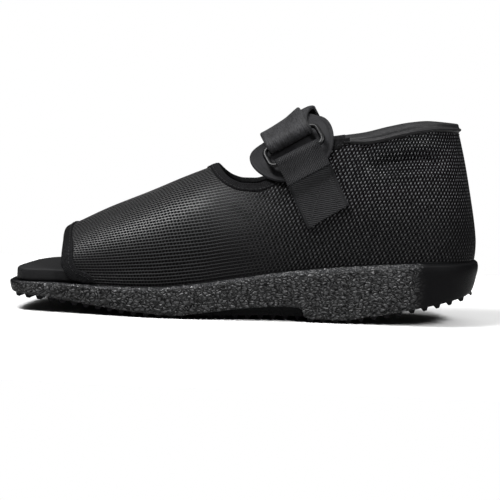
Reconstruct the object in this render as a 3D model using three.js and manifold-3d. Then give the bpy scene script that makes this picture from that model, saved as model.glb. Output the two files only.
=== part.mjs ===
// A fracture shoe: a rigid rocker sole, a thick footbed, an open-toed mesh upper and one hook-and-loop strap.
// Millimetres, +Z up. The toe points along -X, the heel along +X, and the strap's ring is on the -Y side.
// The shoe stands on its tread ribs at Z = 0, and the middle of its length is at X = 0.

import * as THREE from 'three';
import { mergeVertices } from 'three/addons/utils/BufferGeometryUtils.js';
import Module from 'manifold-3d';

const wasm = await Module();
wasm.setup();

// Sole
const shoeLength = 293.4;
const ballWidth = 108;
const foreStack = 18.8;
const heelStack = 40.6;
const toeSpring = 10;
const heelSpring = 25;
const archRise = 1.2;
const toeRound = 30;
const toeSlant = 19;
const slantReach = 0.2;
const heelRound = 40;
const ribHeight = 2.2;
const ribBase = 4.6;
const ribTip = 2;
const ribPitch = 7.8;
const toeRibPitch = 6.2;
const ribSetback = 0.5;
const reliefRise = 6;
const coreInset = 8;
const sideDraft = 3.6;

// Footbed
const insoleThickness = 7.5;
const insoleToeInset = 4;
const insoleEdgeRound = 1.2;

// Upper
const upperWall = 2.4;
const featherInset = 1.6;
const foreTuck = 2.4;
const heelTuck = 1.2;
const tuckHeight = 13;
const instepHeight = 126;
const ankleHeight = 190;
const collarHeight = 128;
const heelLean = 17;
const collarPadding = 3;
const collarPadHeight = 27;
const toeOpening = 34;
const toeOpeningSweep = 14;
const toeOpeningHeight = 34.2;
const bindingWidth = 6;
const collarSplit = 0.705;
const bindingProud = 0.6;

// Closure
const closureTilt = 32;
const closureAlong = 79.3;
const closurePivot = 45;
const strapWidth = 30;
const strapThickness = 2.6;
const strapSlant = 9;
const webbingWidth = 29.5;
const webbingThickness = 1.5;
const webbingSlant = -2.6;
const ringInside = 33;
const ringBar = 3.2;
const ringPitch = 14;
const ringCorner = 4;
const ringTurn = 38;
const padLength = 52;
const padThickness = 3;
const padTurn = 55;
const padRound = 43;

// Fits
const gap = 0.3;
const drapeGap = 0.65;

// Width of the sole along its length, as a share of half the ball width, before its ends are rounded.
const planRows = [
  { at: 0.0, half: 0.85 },
  { at: 0.1, half: 0.89 },
  { at: 0.18, half: 0.945 },
  { at: 0.3, half: 1.0 },
  { at: 0.4, half: 0.965 },
  { at: 0.5, half: 0.88 },
  { at: 0.6, half: 0.8 },
  { at: 0.7, half: 0.77 },
  { at: 0.82, half: 0.768 },
  { at: 1.0, half: 0.76 },
];

// The sole's top edge, from the fore stack at 0 to the heel stack at 1.
const rimRows = [
  { at: 0.0, rise: -0.03 },
  { at: 0.1, rise: 0.0 },
  { at: 0.2, rise: -0.02 },
  { at: 0.3, rise: 0.01 },
  { at: 0.4, rise: 0.16 },
  { at: 0.46, rise: 0.3 },
  { at: 0.58, rise: 0.56 },
  { at: 0.68, rise: 0.73 },
  { at: 0.81, rise: 0.9 },
  { at: 0.92, rise: 1.0 },
  { at: 1.0, rise: 1.0 },
];

// The rocker: shares of the toe spring, the heel spring and the arch rise.
const rockerRows = [
  { at: 0.0, toe: 1.0, heel: 0.0, arch: 0.0 },
  { at: 0.1, toe: 0.7, heel: 0.0, arch: 0.0 },
  { at: 0.17, toe: 0.44, heel: 0.0, arch: 0.0 },
  { at: 0.24, toe: 0.2, heel: 0.0, arch: 0.0 },
  { at: 0.3, toe: 0.05, heel: 0.0, arch: 0.0 },
  { at: 0.33, toe: 0.0, heel: 0.0, arch: 0.0 },
  { at: 0.43, toe: 0.0, heel: 0.0, arch: 0.0 },
  { at: 0.5, toe: 0.0, heel: 0.0, arch: 0.6 },
  { at: 0.57, toe: 0.0, heel: 0.0, arch: 1.0 },
  { at: 0.625, toe: 0.0, heel: 0.0, arch: 1.0 },
  { at: 0.645, toe: 0.0, heel: 0.0, arch: 0.0 },
  { at: 0.7, toe: 0.0, heel: 0.0, arch: 0.0 },
  { at: 0.76, toe: 0.0, heel: 0.11, arch: 0.0 },
  { at: 0.81, toe: 0.0, heel: 0.22, arch: 0.0 },
  { at: 0.86, toe: 0.0, heel: 0.36, arch: 0.0 },
  { at: 0.92, toe: 0.0, heel: 0.54, arch: 0.0 },
  { at: 1.0, toe: 0.0, heel: 1.0, arch: 0.0 },
];

// Side of the sole from its foot to its top edge: rise as a share of its height, inset as a share of
// the draft.
const sideRows = [
  { rise: 0.0, inset: 1.0 },
  { rise: 0.08, inset: 0.72 },
  { rise: 0.45, inset: 0.25 },
  { rise: 0.76, inset: 0.0 },
  { rise: 0.92, inset: 0.14 },
  { rise: 1.0, inset: 0.72 },
];

// Relief under the waist, seen from the side, as a share of its rise over the tread.
const reliefRows = [
  { at: 0.375, rise: 0.0 },
  { at: 0.395, rise: 0.18 },
  { at: 0.43, rise: 0.44 },
  { at: 0.47, rise: 0.68 },
  { at: 0.53, rise: 0.9 },
  { at: 0.59, rise: 1.0 },
  { at: 0.612, rise: 0.93 },
  { at: 0.622, rise: 0.7 },
  { at: 0.626, rise: 0.0 },
];

// Crown of the last over the foot, as a share of the instep height, up to where the ankle takes over.
const crownRows = [
  { at: 0.0, crown: 0.277, ankle: 0.0 },
  { at: 0.07, crown: 0.353, ankle: 0.0 },
  { at: 0.133, crown: 0.43, ankle: 0.0 },
  { at: 0.277, crown: 0.586, ankle: 0.0 },
  { at: 0.39, crown: 0.705, ankle: 0.0 },
  { at: 0.43, crown: 0.746, ankle: 0.0 },
  { at: 0.5, crown: 0.803, ankle: 0.0 },
  { at: 0.567, crown: 0.9, ankle: 0.0 },
  { at: 0.606, crown: 0.98, ankle: 0.0 },
  { at: 0.627, crown: 1.0, ankle: 0.0 },
  { at: 0.69, crown: 1.0, ankle: 0.28 },
  { at: 0.74, crown: 1.0, ankle: 0.6 },
  { at: 0.8, crown: 1.0, ankle: 1.0 },
  { at: 1.0, crown: 1.0, ankle: 1.0 },
];

// Edge of the opening for the foot, seen from the side, as a share of the collar height.
const toplineRows = [
  { at: 0.431, height: 0.742 },
  { at: 0.448, height: 0.708 },
  { at: 0.465, height: 0.684 },
  { at: 0.485, height: 0.67 },
  { at: 0.51, height: 0.666 },
  { at: 0.55, height: 0.7 },
  { at: 0.61, height: 0.8 },
  { at: 0.66, height: 0.88 },
  { at: 0.7, height: 0.899 },
  { at: 0.75, height: 0.92 },
  { at: 0.8, height: 0.953 },
  { at: 0.85, height: 0.98 },
  { at: 0.89, height: 0.991 },
  { at: 0.94, height: 0.987 },
  { at: 1.1, height: 0.97 },
];

// Edge of the toe opening, seen from the side: rise over the sole as a share of the opening's height,
// and how far the edge sweeps back as a share of the sweep.
const toeEdgeRows = [
  { rise: -0.5, sweep: 1.1 },
  { rise: 0.0, sweep: 1.0 },
  { rise: 0.08, sweep: 0.45 },
  { rise: 0.2, sweep: 0.2 },
  { rise: 0.34, sweep: 0.03 },
  { rise: 0.5, sweep: 0.0 },
  { rise: 0.7, sweep: -0.04 },
  { rise: 0.84, sweep: -0.14 },
  { rise: 0.95, sweep: -0.25 },
  { rise: 1.05, sweep: -0.2 },
  { rise: 2.0, sweep: 0.2 },
];

const toeSteps = 8;
const midSteps = 27;
const heelSteps = 10;
const sectionPower = 2.2;
const toePower = 3.4;
const heelPower = 2.3;
const leanPower = 1.45;
const farReach = 220;

const toeX = -shoeLength / 2;
const heelX = shoeLength / 2;

/** Share of the length at X. */
function share(x) {
  return (x - toeX) / shoeLength;
}

/** X at a share of the length. */
function atShare(at) {
  return toeX + at * shoeLength;
}

function smooth(low, high, value) {
  return THREE.MathUtils.smoothstep(value, low, high);
}

/** Evenly spaced values, both ends included. */
function range(from, to, steps) {
  return Array.from({ length: steps + 1 }, (_, i) => THREE.MathUtils.lerp(from, to, i / steps));
}

/** Slopes that keep a curve through the rows free of overshoot. */
function tameSlopes(xs, ys) {
  const last = xs.length - 1;
  const rates = xs.slice(1).map((x, i) => (ys[i + 1] - ys[i]) / (x - xs[i]));
  return xs.map((x, i) => {
    if (i === 0) return rates[0];
    if (i === last) return rates[last - 1];
    const [before, after] = [rates[i - 1], rates[i]];
    return before * after <= 0 ? 0 : (2 * before * after) / (before + after);
  });
}

/** A smooth function of `key` through one column of a table. */
function column(rows, name, key = 'at') {
  const xs = rows.map((row) => row[key]);
  const ys = rows.map((row) => row[name]);
  const slopes = tameSlopes(xs, ys);
  return (value) => {
    if (value <= xs[0]) return ys[0];
    if (value >= xs.at(-1)) return ys.at(-1);
    const i = xs.findIndex((x) => x > value) - 1;
    const span = xs[i + 1] - xs[i];
    const t = (value - xs[i]) / span;
    const [t2, t3] = [t * t, t * t * t];
    return (
      ys[i] * (2 * t3 - 3 * t2 + 1) +
      ys[i + 1] * (3 * t2 - 2 * t3) +
      span * (slopes[i] * (t3 - 2 * t2 + t) + slopes[i + 1] * (t3 - t2))
    );
  };
}

const planHalf = column(planRows, 'half');
const rimRise = column(rimRows, 'rise');
const rocker = ['toe', 'heel', 'arch'].map((name) => column(rockerRows, name));
const reliefShare = column(reliefRows, 'rise');
const crownShare = column(crownRows, 'crown');
const ankleShare = column(crownRows, 'ankle');
const toplineShare = column(toplineRows, 'height');
const toeSweep = column(toeEdgeRows, 'sweep', 'rise');

/** Height of the sole's top edge. */
function rimZ(x) {
  return THREE.MathUtils.lerp(foreStack, heelStack, rimRise(share(x)));
}

/** Height of the tread ribs' tips. */
function treadZ(x) {
  const [toe, heel, arch] = rocker.map((rise) => rise(share(x)));
  return toe * toeSpring + heel * heelSpring + arch * archRise;
}

/** Height of the sole's underside between its ribs. */
function baseZ(x) {
  return treadZ(x) + ribHeight;
}

/** Height of the last's crown. */
function crownZ(x) {
  const at = share(x);
  return THREE.MathUtils.lerp(crownShare(at) * instepHeight, ankleHeight, ankleShare(at));
}

function toplineZ(x) {
  return toplineShare(share(x)) * collarHeight;
}

function tuckAt(x) {
  return THREE.MathUtils.lerp(foreTuck, heelTuck, smooth(0.35, 0.8, share(x)));
}

/** Half the sole's width: the plan table, rounded off at both ends. */
function soleHalf(x) {
  const toe = Math.min(1, Math.max(0, (toeX + toeRound - x) / toeRound));
  const heel = Math.min(1, Math.max(0, (x - heelX + heelRound) / heelRound));
  const round = (1 - toe ** toePower) ** (1 / toePower) * (1 - heel ** heelPower) ** (1 / heelPower);
  return (ballWidth / 2) * planHalf(share(x)) * round;
}

/** Stations along X, close together where the ends are round. */
function stations() {
  const quarter = Math.PI / 2;
  const xs = [];
  for (let i = 0; i < toeSteps; i++) {
    xs.push(toeX + toeRound * (1 - Math.cos((quarter * i) / toeSteps) ** (2 / toePower)));
  }
  const [start, end] = [toeX + toeRound, heelX - heelRound];
  for (let i = 0; i < midSteps; i++) {
    xs.push(THREE.MathUtils.lerp(start, end, i / midSteps));
  }
  for (let i = 0; i <= heelSteps; i++) {
    xs.push(end + heelRound * Math.sin((quarter * i) / heelSteps) ** (2 / heelPower));
  }
  return xs;
}

/** The sole's outline on one side, each point with its outward direction. */
function soleOutline() {
  const points = stations().map((x) => new THREE.Vector2(x, soleHalf(x)));
  const last = points.length - 1;
  return points.map((point, i) => {
    const before = i > 0 ? points[i - 1] : new THREE.Vector2(points[1].x, -points[1].y);
    const after = i < last ? points[i + 1] : new THREE.Vector2(points[last - 1].x, -points[last - 1].y);
    const run = after.clone().sub(before).normalize();
    return { point, out: new THREE.Vector2(-run.y, run.x) };
  });
}

/** An outline point moved inwards. */
function insetPoint({ point, out }, inset) {
  return point.clone().addScaledVector(out, -inset);
}

/** A closed solid through rings of points: its ends are closed, or its last ring joins its first. */
function loftSolid(rings, joined = false) {
  const size = rings[0].length;
  const positions = rings.flat().flatMap((point) => point.toArray());
  const index = [];
  for (let i = 0; i < rings.length - (joined ? 0 : 1); i++) {
    for (let j = 0; j < size; j++) {
      const [a, b] = [i * size + j, i * size + ((j + 1) % size)];
      const [c, d] = [b, a].map((corner) => (corner + size) % (rings.length * size));
      index.push(a, b, c, a, c, d);
    }
  }
  [0, rings.length - 1].forEach((end, side) => {
    const spread = Math.max(...rings[end].map((point) => Math.abs(point.y - rings[end][0].y)));
    if (joined || spread < 1e-6) return;
    const centre = rings[end].reduce((sum, point) => sum.add(point), new THREE.Vector3()).divideScalar(size);
    const hub = positions.length / 3;
    positions.push(...centre.toArray());
    for (let j = 0; j < size; j++) {
      const [a, b] = [end * size + j, end * size + ((j + 1) % size)];
      index.push(...(side ? [hub, a, b] : [hub, b, a]));
    }
  });
  return solidFrom(geometryFrom(positions, index));
}

function geometryFrom(positions, index) {
  const geometry = new THREE.BufferGeometry();
  geometry.setAttribute('position', new THREE.Float32BufferAttribute(positions, 3));
  geometry.setIndex(index);
  return geometry;
}

/** The solid of a closed geometry: vertices merged, faces with no area dropped, turned to face outwards. */
function solidFrom(geometry) {
  const bare = geometry.clone();
  ['normal', 'uv'].forEach((name) => bare.deleteAttribute(name));
  const merged = mergeVertices(bare, 1e-4);
  const [place, source] = [merged.getAttribute('position'), merged.getIndex().array];
  const faces = [];
  for (let i = 0; i < source.length; i += 3) {
    const [a, b, c] = source.slice(i, i + 3);
    if (a !== b && b !== c && c !== a) faces.push([a, b, c]);
  }
  const corner = (i) => new THREE.Vector3().fromBufferAttribute(place, i);
  const volume = faces.reduce((sum, [a, b, c]) => sum + corner(a).dot(corner(b).cross(corner(c))), 0);
  const outward = volume < 0 ? faces.map(([a, b, c]) => [a, c, b]) : faces;
  return new wasm.Manifold(
    new wasm.Mesh({
      numProp: 3,
      vertProperties: new Float32Array(place.array),
      triVerts: new Uint32Array(outward.flat()),
    }),
  );
}

function geometryOf(solid) {
  const mesh = solid.getMesh();
  return geometryFrom(Array.from(mesh.vertProperties), Array.from(mesh.triVerts));
}

/** How far the slanted toe moves a point back: most at the far side of the toe, nothing behind the ball. */
function slantBack(x, y) {
  return toeSlant * (1 / 2 + y / ballWidth) * (1 - smooth(0, slantReach, share(x)));
}

/** Slants the toe, and takes it forward again by what the slant lost of the shoe's length. */
function slantToe(geometry) {
  const outline = stations().map((x) => x + slantBack(x, -soleHalf(x)));
  const lost = Math.min(...outline) - toeX;
  const place = geometry.getAttribute('position');
  for (let i = 0; i < place.count; i++) {
    const [x, y] = [place.getX(i), place.getY(i)];
    place.setX(i, x + slantBack(x, y) - lost * (1 - smooth(0, slantReach, share(x))));
  }
  return geometry;
}

/** A prism across the shoe whose side view is the given polygon of [x, z]. */
function prism(corners, halfDepth = farReach / 2) {
  const shape = new THREE.Shape(corners.map(([x, z]) => new THREE.Vector2(x, z)));
  const geometry = new THREE.ExtrudeGeometry(shape, { depth: 2 * halfDepth, bevelEnabled: false });
  geometry.rotateX(Math.PI / 2).translate(0, halfDepth, 0);
  return solidFrom(geometry);
}

/** A solid between levels that follow the sole's outline, each with its inset and height. */
function outlineSolid(outline, levels) {
  return loftSolid(
    outline.map((row) => {
      const near = levels.map(({ inset, z }) => {
        const place = insetPoint(row, inset(row.point.x));
        return new THREE.Vector3(place.x, -place.y, z(place.x));
      });
      const far = near.map((point) => new THREE.Vector3(point.x, -point.y, point.z)).reverse();
      return [...near, ...far];
    }),
  );
}

/** Cuts the waist's relief: under the side wall, out from the inset core. */
function reliefCutter(side) {
  const steps = 26;
  const [start, end] = [reliefRows[0].at, reliefRows.at(-1).at];
  const rings = [];
  for (let i = 0; i <= steps; i++) {
    const x = atShare(THREE.MathUtils.lerp(start, end, i / steps));
    const top = baseZ(x) + reliefRise * reliefShare(share(x)) + (i > 0 && i < steps ? 0 : -gap);
    const [inner, outer] = [soleHalf(x) - coreInset, soleHalf(x) + coreInset];
    const lip = inner + gap;
    rings.push([
      new THREE.Vector3(x, side * inner, -ribHeight),
      new THREE.Vector3(x, side * outer, -ribHeight),
      new THREE.Vector3(x, side * outer, top),
      new THREE.Vector3(x, side * lip, top),
    ]);
  }
  return loftSolid(rings);
}

/** How far a rib stays in at X: inside the core where the side is relieved. */
function treadInset(x) {
  const relieved = share(x) > reliefRows[0].at && share(x) < reliefRows.at(-1).at;
  return relieved ? coreInset + ribSetback : 0;
}

/** A point square off the underside at X, below it by a depth. */
function underside(x, depth) {
  const slope = baseZ(x + 0.5) - baseZ(x - 0.5);
  const size = Math.hypot(slope, 1);
  return [x + (depth * slope) / size, baseZ(x) - depth / size];
}

/** One rib across the sole, square to the rocker where it stands. */
function treadRib(x) {
  const bite = ribHeight;
  const [base, tip] = [ribBase / 2, ribTip / 2];
  const corners = [
    underside(x - base, -bite),
    underside(x - base, 0),
    underside(x - tip, ribHeight),
    underside(x + tip, ribHeight),
    underside(x + base, 0),
    underside(x + base, -bite),
  ];
  return prism(corners, soleHalf(x) - treadInset(x));
}

/** Places of the ribs: an even pitch from heel to ball, closing up towards the toe. */
function ribStations() {
  const places = [];
  const heelMargin = 0.985;
  const toeMargin = 0.02;
  for (let x = atShare(heelMargin); share(x) > toeMargin; ) {
    places.push(x);
    x -= THREE.MathUtils.lerp(toeRibPitch, ribPitch, smooth(0.0, 0.38, share(x)));
  }
  return places;
}

function buildOutsole() {
  const outline = soleOutline();
  const levels = sideRows.map(({ rise, inset }) => ({
    inset: () => inset * sideDraft,
    z: (x) => THREE.MathUtils.lerp(baseZ(x), rimZ(x), rise),
  }));
  const block = outlineSolid(outline, levels);
  const relieved = block.subtract(reliefCutter(1)).subtract(reliefCutter(-1));
  const inset = () => sideDraft + ribSetback;
  const footprint = outlineSolid(outline, [
    { inset, z: (x) => treadZ(x) - ribBase },
    { inset, z: rimZ },
  ]);
  return ribStations().reduce((sole, x) => sole.add(treadRib(x).intersect(footprint)), relieved);
}

/** How far the footbed stays in from the sole's edge: clear of the upper, and wider in the open toe. */
function insoleInset(x) {
  const clear = featherInset + tuckAt(x) + upperWall + bindingProud + gap;
  return THREE.MathUtils.lerp(insoleToeInset, clear, smooth(0.02, 0.11, share(x)));
}

function buildInsole() {
  const top = (x) => rimZ(x) + gap + insoleThickness;
  return outlineSolid(soleOutline(), [
    { inset: insoleInset, z: (x) => rimZ(x) + gap },
    { inset: insoleInset, z: (x) => top(x) - insoleEdgeRound },
    { inset: (x) => insoleInset(x) + insoleEdgeRound, z: top },
  ]);
}

/** Half a section of the last, from the feather line up to the crown, on the ring's side. */
function lastSection(row, growAt) {
  const steps = 14;
  const stationX = row.point.x;
  const low = rimZ(stationX) + gap;
  const points = [];
  for (let i = 0; i <= steps; i++) {
    const turn = (Math.PI / 2) * (i / steps) ** 0.9;
    const [wide, tall] = [Math.cos(turn), Math.sin(turn)].map((side) => {
      return Math.max(0, side) ** (2 / sectionPower);
    });
    const grow = growAt(stationX, low + (crownZ(stationX) - low) * tall);
    const rise = (crownZ(stationX) + grow - low) * tall;
    const tuck = tuckAt(stationX) * Math.max(0, 1 - rise / tuckHeight) ** 2;
    const place = insetPoint(row, featherInset + tuck - grow);
    const lean = heelLean * (rise / (collarHeight - low)) ** leanPower * smooth(0.68, 0.98, share(stationX));
    points.push(new THREE.Vector3(place.x - lean, -place.y * wide, low + rise));
  }
  return points;
}

/** The last as a closed solid, grown by a distance that may vary, and sunk below the feather line. */
function lastSolid(growAt, sink = 0) {
  const rows = soleOutline().filter(({ point }) => share(point.x) > 0.02);
  return loftSolid(
    rows.map((row) => {
      const near = lastSection(row, growAt);
      if (sink > 0) near.unshift(near[0].clone().setZ(near[0].z - sink));
      const far = near.slice(0, -1).map((point) => new THREE.Vector3(point.x, -point.y, point.z));
      return [...near, ...far.reverse()];
    }),
  );
}

/** Thickness of the collar's padding, inside the wall. */
function collarPad(x, z) {
  const drop = toplineZ(x) - z;
  const height = 1 - smooth(collarPadHeight / 2, collarPadHeight, drop);
  return collarPadding * height * smooth(0.62, 0.72, share(x));
}

/** Everything above the foot's opening, with its edge lowered by a distance. */
function toplineCutter(drop) {
  const steps = 44;
  const [start, end] = [atShare(toplineRows[0].at), atShare(toplineRows.at(-1).at)];
  const corners = [
    [start - drop, farReach],
    [start - drop, toplineZ(start)],
  ];
  for (let i = 0; i <= steps; i++) {
    const x = THREE.MathUtils.lerp(start, end, (i / steps) ** 1.3);
    const slope = toplineZ(x + 0.5) - toplineZ(x - 0.5);
    const moved = [x + (drop * slope) / Math.hypot(slope, 1), toplineZ(x) - drop / Math.hypot(slope, 1)];
    if (moved[0] > corners.at(-1)[0] + gap) corners.push(moved);
  }
  corners.push([end, farReach]);
  return prism(corners);
}

/** Everything in front of the toe opening, with its edge moved back by a distance. */
function toeCutter(back) {
  const rises = range(toeEdgeRows[0].rise, toeEdgeRows.at(-1).rise, 24);
  const front = toeX - farReach;
  const edge = rises.map((rise) => [
    toeX + toeOpening + back + toeOpeningSweep * toeSweep(rise),
    foreStack + toeOpeningHeight * rise,
  ]);
  return prism([[front, edge[0][1]], ...edge, [front, edge.at(-1)[1]]]);
}

const wallInside = (x, z) => -upperWall - collarPad(x, z);

/** The upper's wall between two grown copies of the last, thicker by `proud` on both faces. */
function wallSolid(proud) {
  const sink = 12;
  return lastSolid(() => proud).subtract(lastSolid((x, z) => wallInside(x, z) - proud, sink));
}

function buildUpper() {
  return wallSolid(0)
    .subtract(toplineCutter(bindingWidth + gap))
    .subtract(toeCutter(bindingWidth + gap));
}

function buildToeBinding() {
  return wallSolid(bindingProud).intersect(toeCutter(bindingWidth)).subtract(toeCutter(0));
}

/** The band along the foot's opening, on the toe side or the heel side of the collar's seam. */
function buildOpeningBand(towardsHeel) {
  const seam = atShare(collarSplit);
  const [from, to] = towardsHeel ? [seam + gap / 2, farReach] : [-farReach, seam - gap / 2];
  const half = prism([
    [from, 0],
    [to, 0],
    [to, farReach],
    [from, farReach],
  ]);
  return wallSolid(bindingProud)
    .intersect(toplineCutter(bindingWidth))
    .subtract(toplineCutter(0))
    .intersect(half);
}

// The closure lies in planes tilted back from the upright: `along` runs up the instep towards the ankle,
// `up` is square to it, and Y crosses the shoe.
const tilt = THREE.MathUtils.degToRad(closureTilt);

function closurePoint(along, y, up) {
  const [cos, sin] = [Math.cos(tilt), Math.sin(tilt)];
  return new THREE.Vector3(along * cos - up * sin, y, along * sin + up * cos);
}

/** True where a point is inside the last grown by a distance. */
function insideLast(point, grow) {
  const low = rimZ(point.x) + gap;
  const rise = (point.z - low) / (crownZ(point.x) + grow - low);
  const half = soleHalf(point.x) - featherInset + grow;
  if (rise >= 1) return false;
  return Math.abs(point.y) < half * (1 - Math.max(0, rise) ** sectionPower) ** (1 / sectionPower);
}

/** The largest value between two bounds for which a test still holds. */
function lastTrue(from, to, holds) {
  let [low, high] = [from, to];
  for (let i = 0; i < 30; i++) {
    const middle = (low + high) / 2;
    if (holds(middle)) low = middle;
    else high = middle;
  }
  return low;
}

/** Where a ray from the closure's pivot leaves the grown last: 0 degrees is the ring's side, 90 the crown. */
function formPoint(along, angle, grow) {
  const turn = THREE.MathUtils.degToRad(angle);
  const at = (reach) => ({ y: -reach * Math.cos(turn), up: closurePivot + reach * Math.sin(turn) });
  return at(
    lastTrue(0, farReach, (reach) => {
      const { y, up } = at(reach);
      return insideLast(closurePoint(along, y, up), grow);
    }),
  );
}

const padLift = bindingProud + drapeGap;
const padTop = padLift + padThickness;
const webbingLift = padTop + drapeGap + webbingThickness / 2;
const strapLift = padTop + drapeGap + strapThickness / 2;

/** A point on the form and its outward direction. */
function formFace(along, angle, lift) {
  const place = formPoint(along, angle, lift);
  const [before, after] = [angle - 1, angle + 1].map((turn) => formPoint(along, turn, lift));
  const [runY, runUp] = [after.y - before.y, after.up - before.up];
  const size = Math.hypot(runY, runUp);
  return { ...place, outY: -runUp / size, outUp: runY / size };
}

/** The middle line of a straight bar of the ring, square off the highest part of the band under it. */
function barOver(angle, lift, thickness) {
  const [low, middle, high] = [-1, 0, 1].map((side) => {
    return formFace(closureAlong + (side * strapWidth) / 2, angle, lift);
  });
  const [startY, startUp] = [(low.y + high.y) / 2, (low.up + high.up) / 2];
  const bulge = (middle.y - startY) * middle.outY + (middle.up - startUp) * middle.outUp;
  const reach = (thickness + ringBar) / 2 + gap + Math.max(0, bulge);
  return (edge) => ({
    y: startY + ((high.y - low.y) * edge) / strapWidth + reach * middle.outY,
    up: startUp + ((high.up - low.up) * edge) / strapWidth + reach * middle.outUp,
  });
}

/** How far apart two bars are at their middles. */
function barPitch(one, other) {
  return Math.hypot(other(0).y - one(0).y, other(0).up - one(0).up);
}

const lowerBar = barOver(ringTurn, webbingLift, webbingThickness);
const upperTurn = lastTrue(ringTurn, 120, (angle) => {
  return barPitch(lowerBar, barOver(angle, strapLift, strapThickness)) < ringPitch;
});
const upperBar = barOver(upperTurn, strapLift, strapThickness);
const ringLean = Math.atan2(upperBar(0).up - lowerBar(0).up, upperBar(0).y - lowerBar(0).y);

/** A place on the form at an angle: `rise` is measured outwards, or inwards on the side `facing` -1. */
function onForm(angle, lift, facing, shift = 0) {
  return (edge, rise) => {
    const along = closureAlong + shift + edge;
    const { y, up } = formPoint(along, angle, lift + facing * rise);
    return closurePoint(along, y, up);
  };
}

/** A place round a bar of the ring, at an angle from the ring's lean. */
function roundBar(bar, angle, thickness) {
  const turn = ringLean + THREE.MathUtils.degToRad(angle);
  return (edge, rise) => {
    const reach = (ringBar + thickness) / 2 + gap + rise;
    const { y, up } = bar(edge);
    return closurePoint(closureAlong + edge, y + reach * Math.cos(turn), up + reach * Math.sin(turn));
  };
}

/** A flat band through a row of places. */
function bandSolid(places, width, thickness) {
  const [half, rise, steps] = [width / 2, thickness / 2, 4];
  return loftSolid(
    places.map((place) => [
      ...range(-half, half, steps).map((edge) => place(edge, -rise)),
      ...range(half, -half, steps).map((edge) => place(edge, rise)),
    ]),
  );
}

/** The strap: up the far side, over the instep, round the ring's upper bar and back over itself. */
function buildStrap() {
  const clear = 7;
  const [farEnd, backEnd] = [196, 122];
  const [padEnd, formStart] = [96, 126];
  const closeTurn = upperTurn + 34;
  const settled = bindingProud + drapeGap + strapThickness / 2;
  const under = (angle) => THREE.MathUtils.lerp(strapLift, settled, smooth(padEnd, formStart, angle));
  const slant = (angle) => strapSlant * smooth(upperTurn + clear, padEnd, angle);
  const loose = (angle) => (ringBar + gap) * (1 - smooth(upperTurn, closeTurn, angle));
  const spread = (angle) => strapThickness + gap + loose(angle);
  return bandSolid(
    [
      ...range(farEnd, upperTurn + clear, 20).map((angle) => onForm(angle, under(angle), -1, slant(angle))),
      ...range(-90, -270, 6).map((angle) => roundBar(upperBar, angle, strapThickness)),
      ...range(upperTurn + clear, backEnd, 8).map((angle) => onForm(angle, under(angle) + spread(angle), 1)),
    ],
    strapWidth,
    strapThickness,
  );
}

/** The webbing that holds the ring: up the side, round the ring's lower bar and down again over itself. */
function buildWebbing() {
  const clear = 5;
  const [lowEnd, foldEnd] = [-20, 18];
  const [padEnd, formStart] = [18, 9];
  const settled = drapeGap + webbingThickness / 2;
  const under = (angle) => THREE.MathUtils.lerp(settled, webbingLift, smooth(formStart, padEnd, angle));
  const slant = (angle) => webbingSlant * smooth(ringTurn - clear, lowEnd, angle);
  const closeTurn = ringTurn - 14;
  const loose = (angle) => (ringBar + gap) * smooth(closeTurn, ringTurn, angle);
  const spread = (angle) => webbingThickness + gap + loose(angle);
  return bandSolid(
    [
      ...range(lowEnd, ringTurn - clear, 17).map((angle) => onForm(angle, under(angle), -1, slant(angle))),
      ...range(-90, 90, 6).map((angle) => roundBar(lowerBar, angle, webbingThickness)),
      ...range(ringTurn - clear, foldEnd, 6).map((angle) => {
        return onForm(angle, under(angle) + spread(angle), 1, slant(angle));
      }),
    ],
    webbingWidth,
    webbingThickness,
  );
}

/** The ring: a round bar bent to a rectangle with rounded corners. */
function buildRing() {
  const [sides, cornerSteps] = [10, 4];
  const [halfAlong, halfPitch] = [(ringInside + ringBar) / 2, ringPitch / 2];
  const signs = [
    [1, 1],
    [-1, 1],
    [-1, -1],
    [1, -1],
  ];
  const rings = signs.flatMap(([a, b], corner) =>
    range(corner * 90, corner * 90 + 90, cornerSteps).map((angle) => {
      const turn = THREE.MathUtils.degToRad(angle);
      const [outA, outB] = [Math.cos(turn), Math.sin(turn)];
      const middleA = a * (halfAlong - ringCorner) + ringCorner * outA;
      const middleB = b * (halfPitch - ringCorner) + ringCorner * outB;
      return range(0, 2 * Math.PI, sides)
        .slice(0, -1)
        .map((spin) => {
          const [flat, lift] = [(ringBar / 2) * Math.cos(spin), (ringBar / 2) * Math.sin(spin)];
          return ringPoint(middleA + outA * flat, middleB + outB * flat, lift);
        });
    }),
  );
  return loftSolid(rings, true);
}

/** A point in the ring's own frame: along its bars, from the lower bar to the upper, and off its face. */
function ringPoint(along, across, lift) {
  const [one, other] = [lowerBar(along), upperBar(along)];
  const t = 1 / 2 + across / ringPitch;
  return closurePoint(
    closureAlong + along,
    THREE.MathUtils.lerp(one.y, other.y, t) - lift * Math.sin(ringLean),
    THREE.MathUtils.lerp(one.up, other.up, t) + lift * Math.cos(ringLean),
  );
}

/** The round pad under the ring, bent over the form. */
function buildPad() {
  const [spokes, half] = [28, padLength / 2];
  const bevel = 0.8;
  const layers = [
    ...range(0, 1 - bevel / half, 5).map((reach) => ({ reach, lift: 0 })),
    { reach: 1, lift: bevel / padThickness },
    { reach: 1, lift: 1 - bevel / padThickness },
    ...range(1 - bevel / half, 0, 5).map((reach) => ({ reach, lift: 1 })),
  ];
  return loftSolid(
    layers.map(({ reach, lift }) =>
      range(0, 2 * Math.PI, spokes)
        .slice(0, -1)
        .map((spin) => {
          const along = closureAlong + half * reach * Math.cos(spin);
          const angle = padTurn + THREE.MathUtils.radToDeg((half * reach * Math.sin(spin)) / padRound);
          const { y, up } = formPoint(along, angle, padLift + padThickness * lift);
          return closurePoint(along, y, up);
        }),
    ),
  );
}

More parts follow.
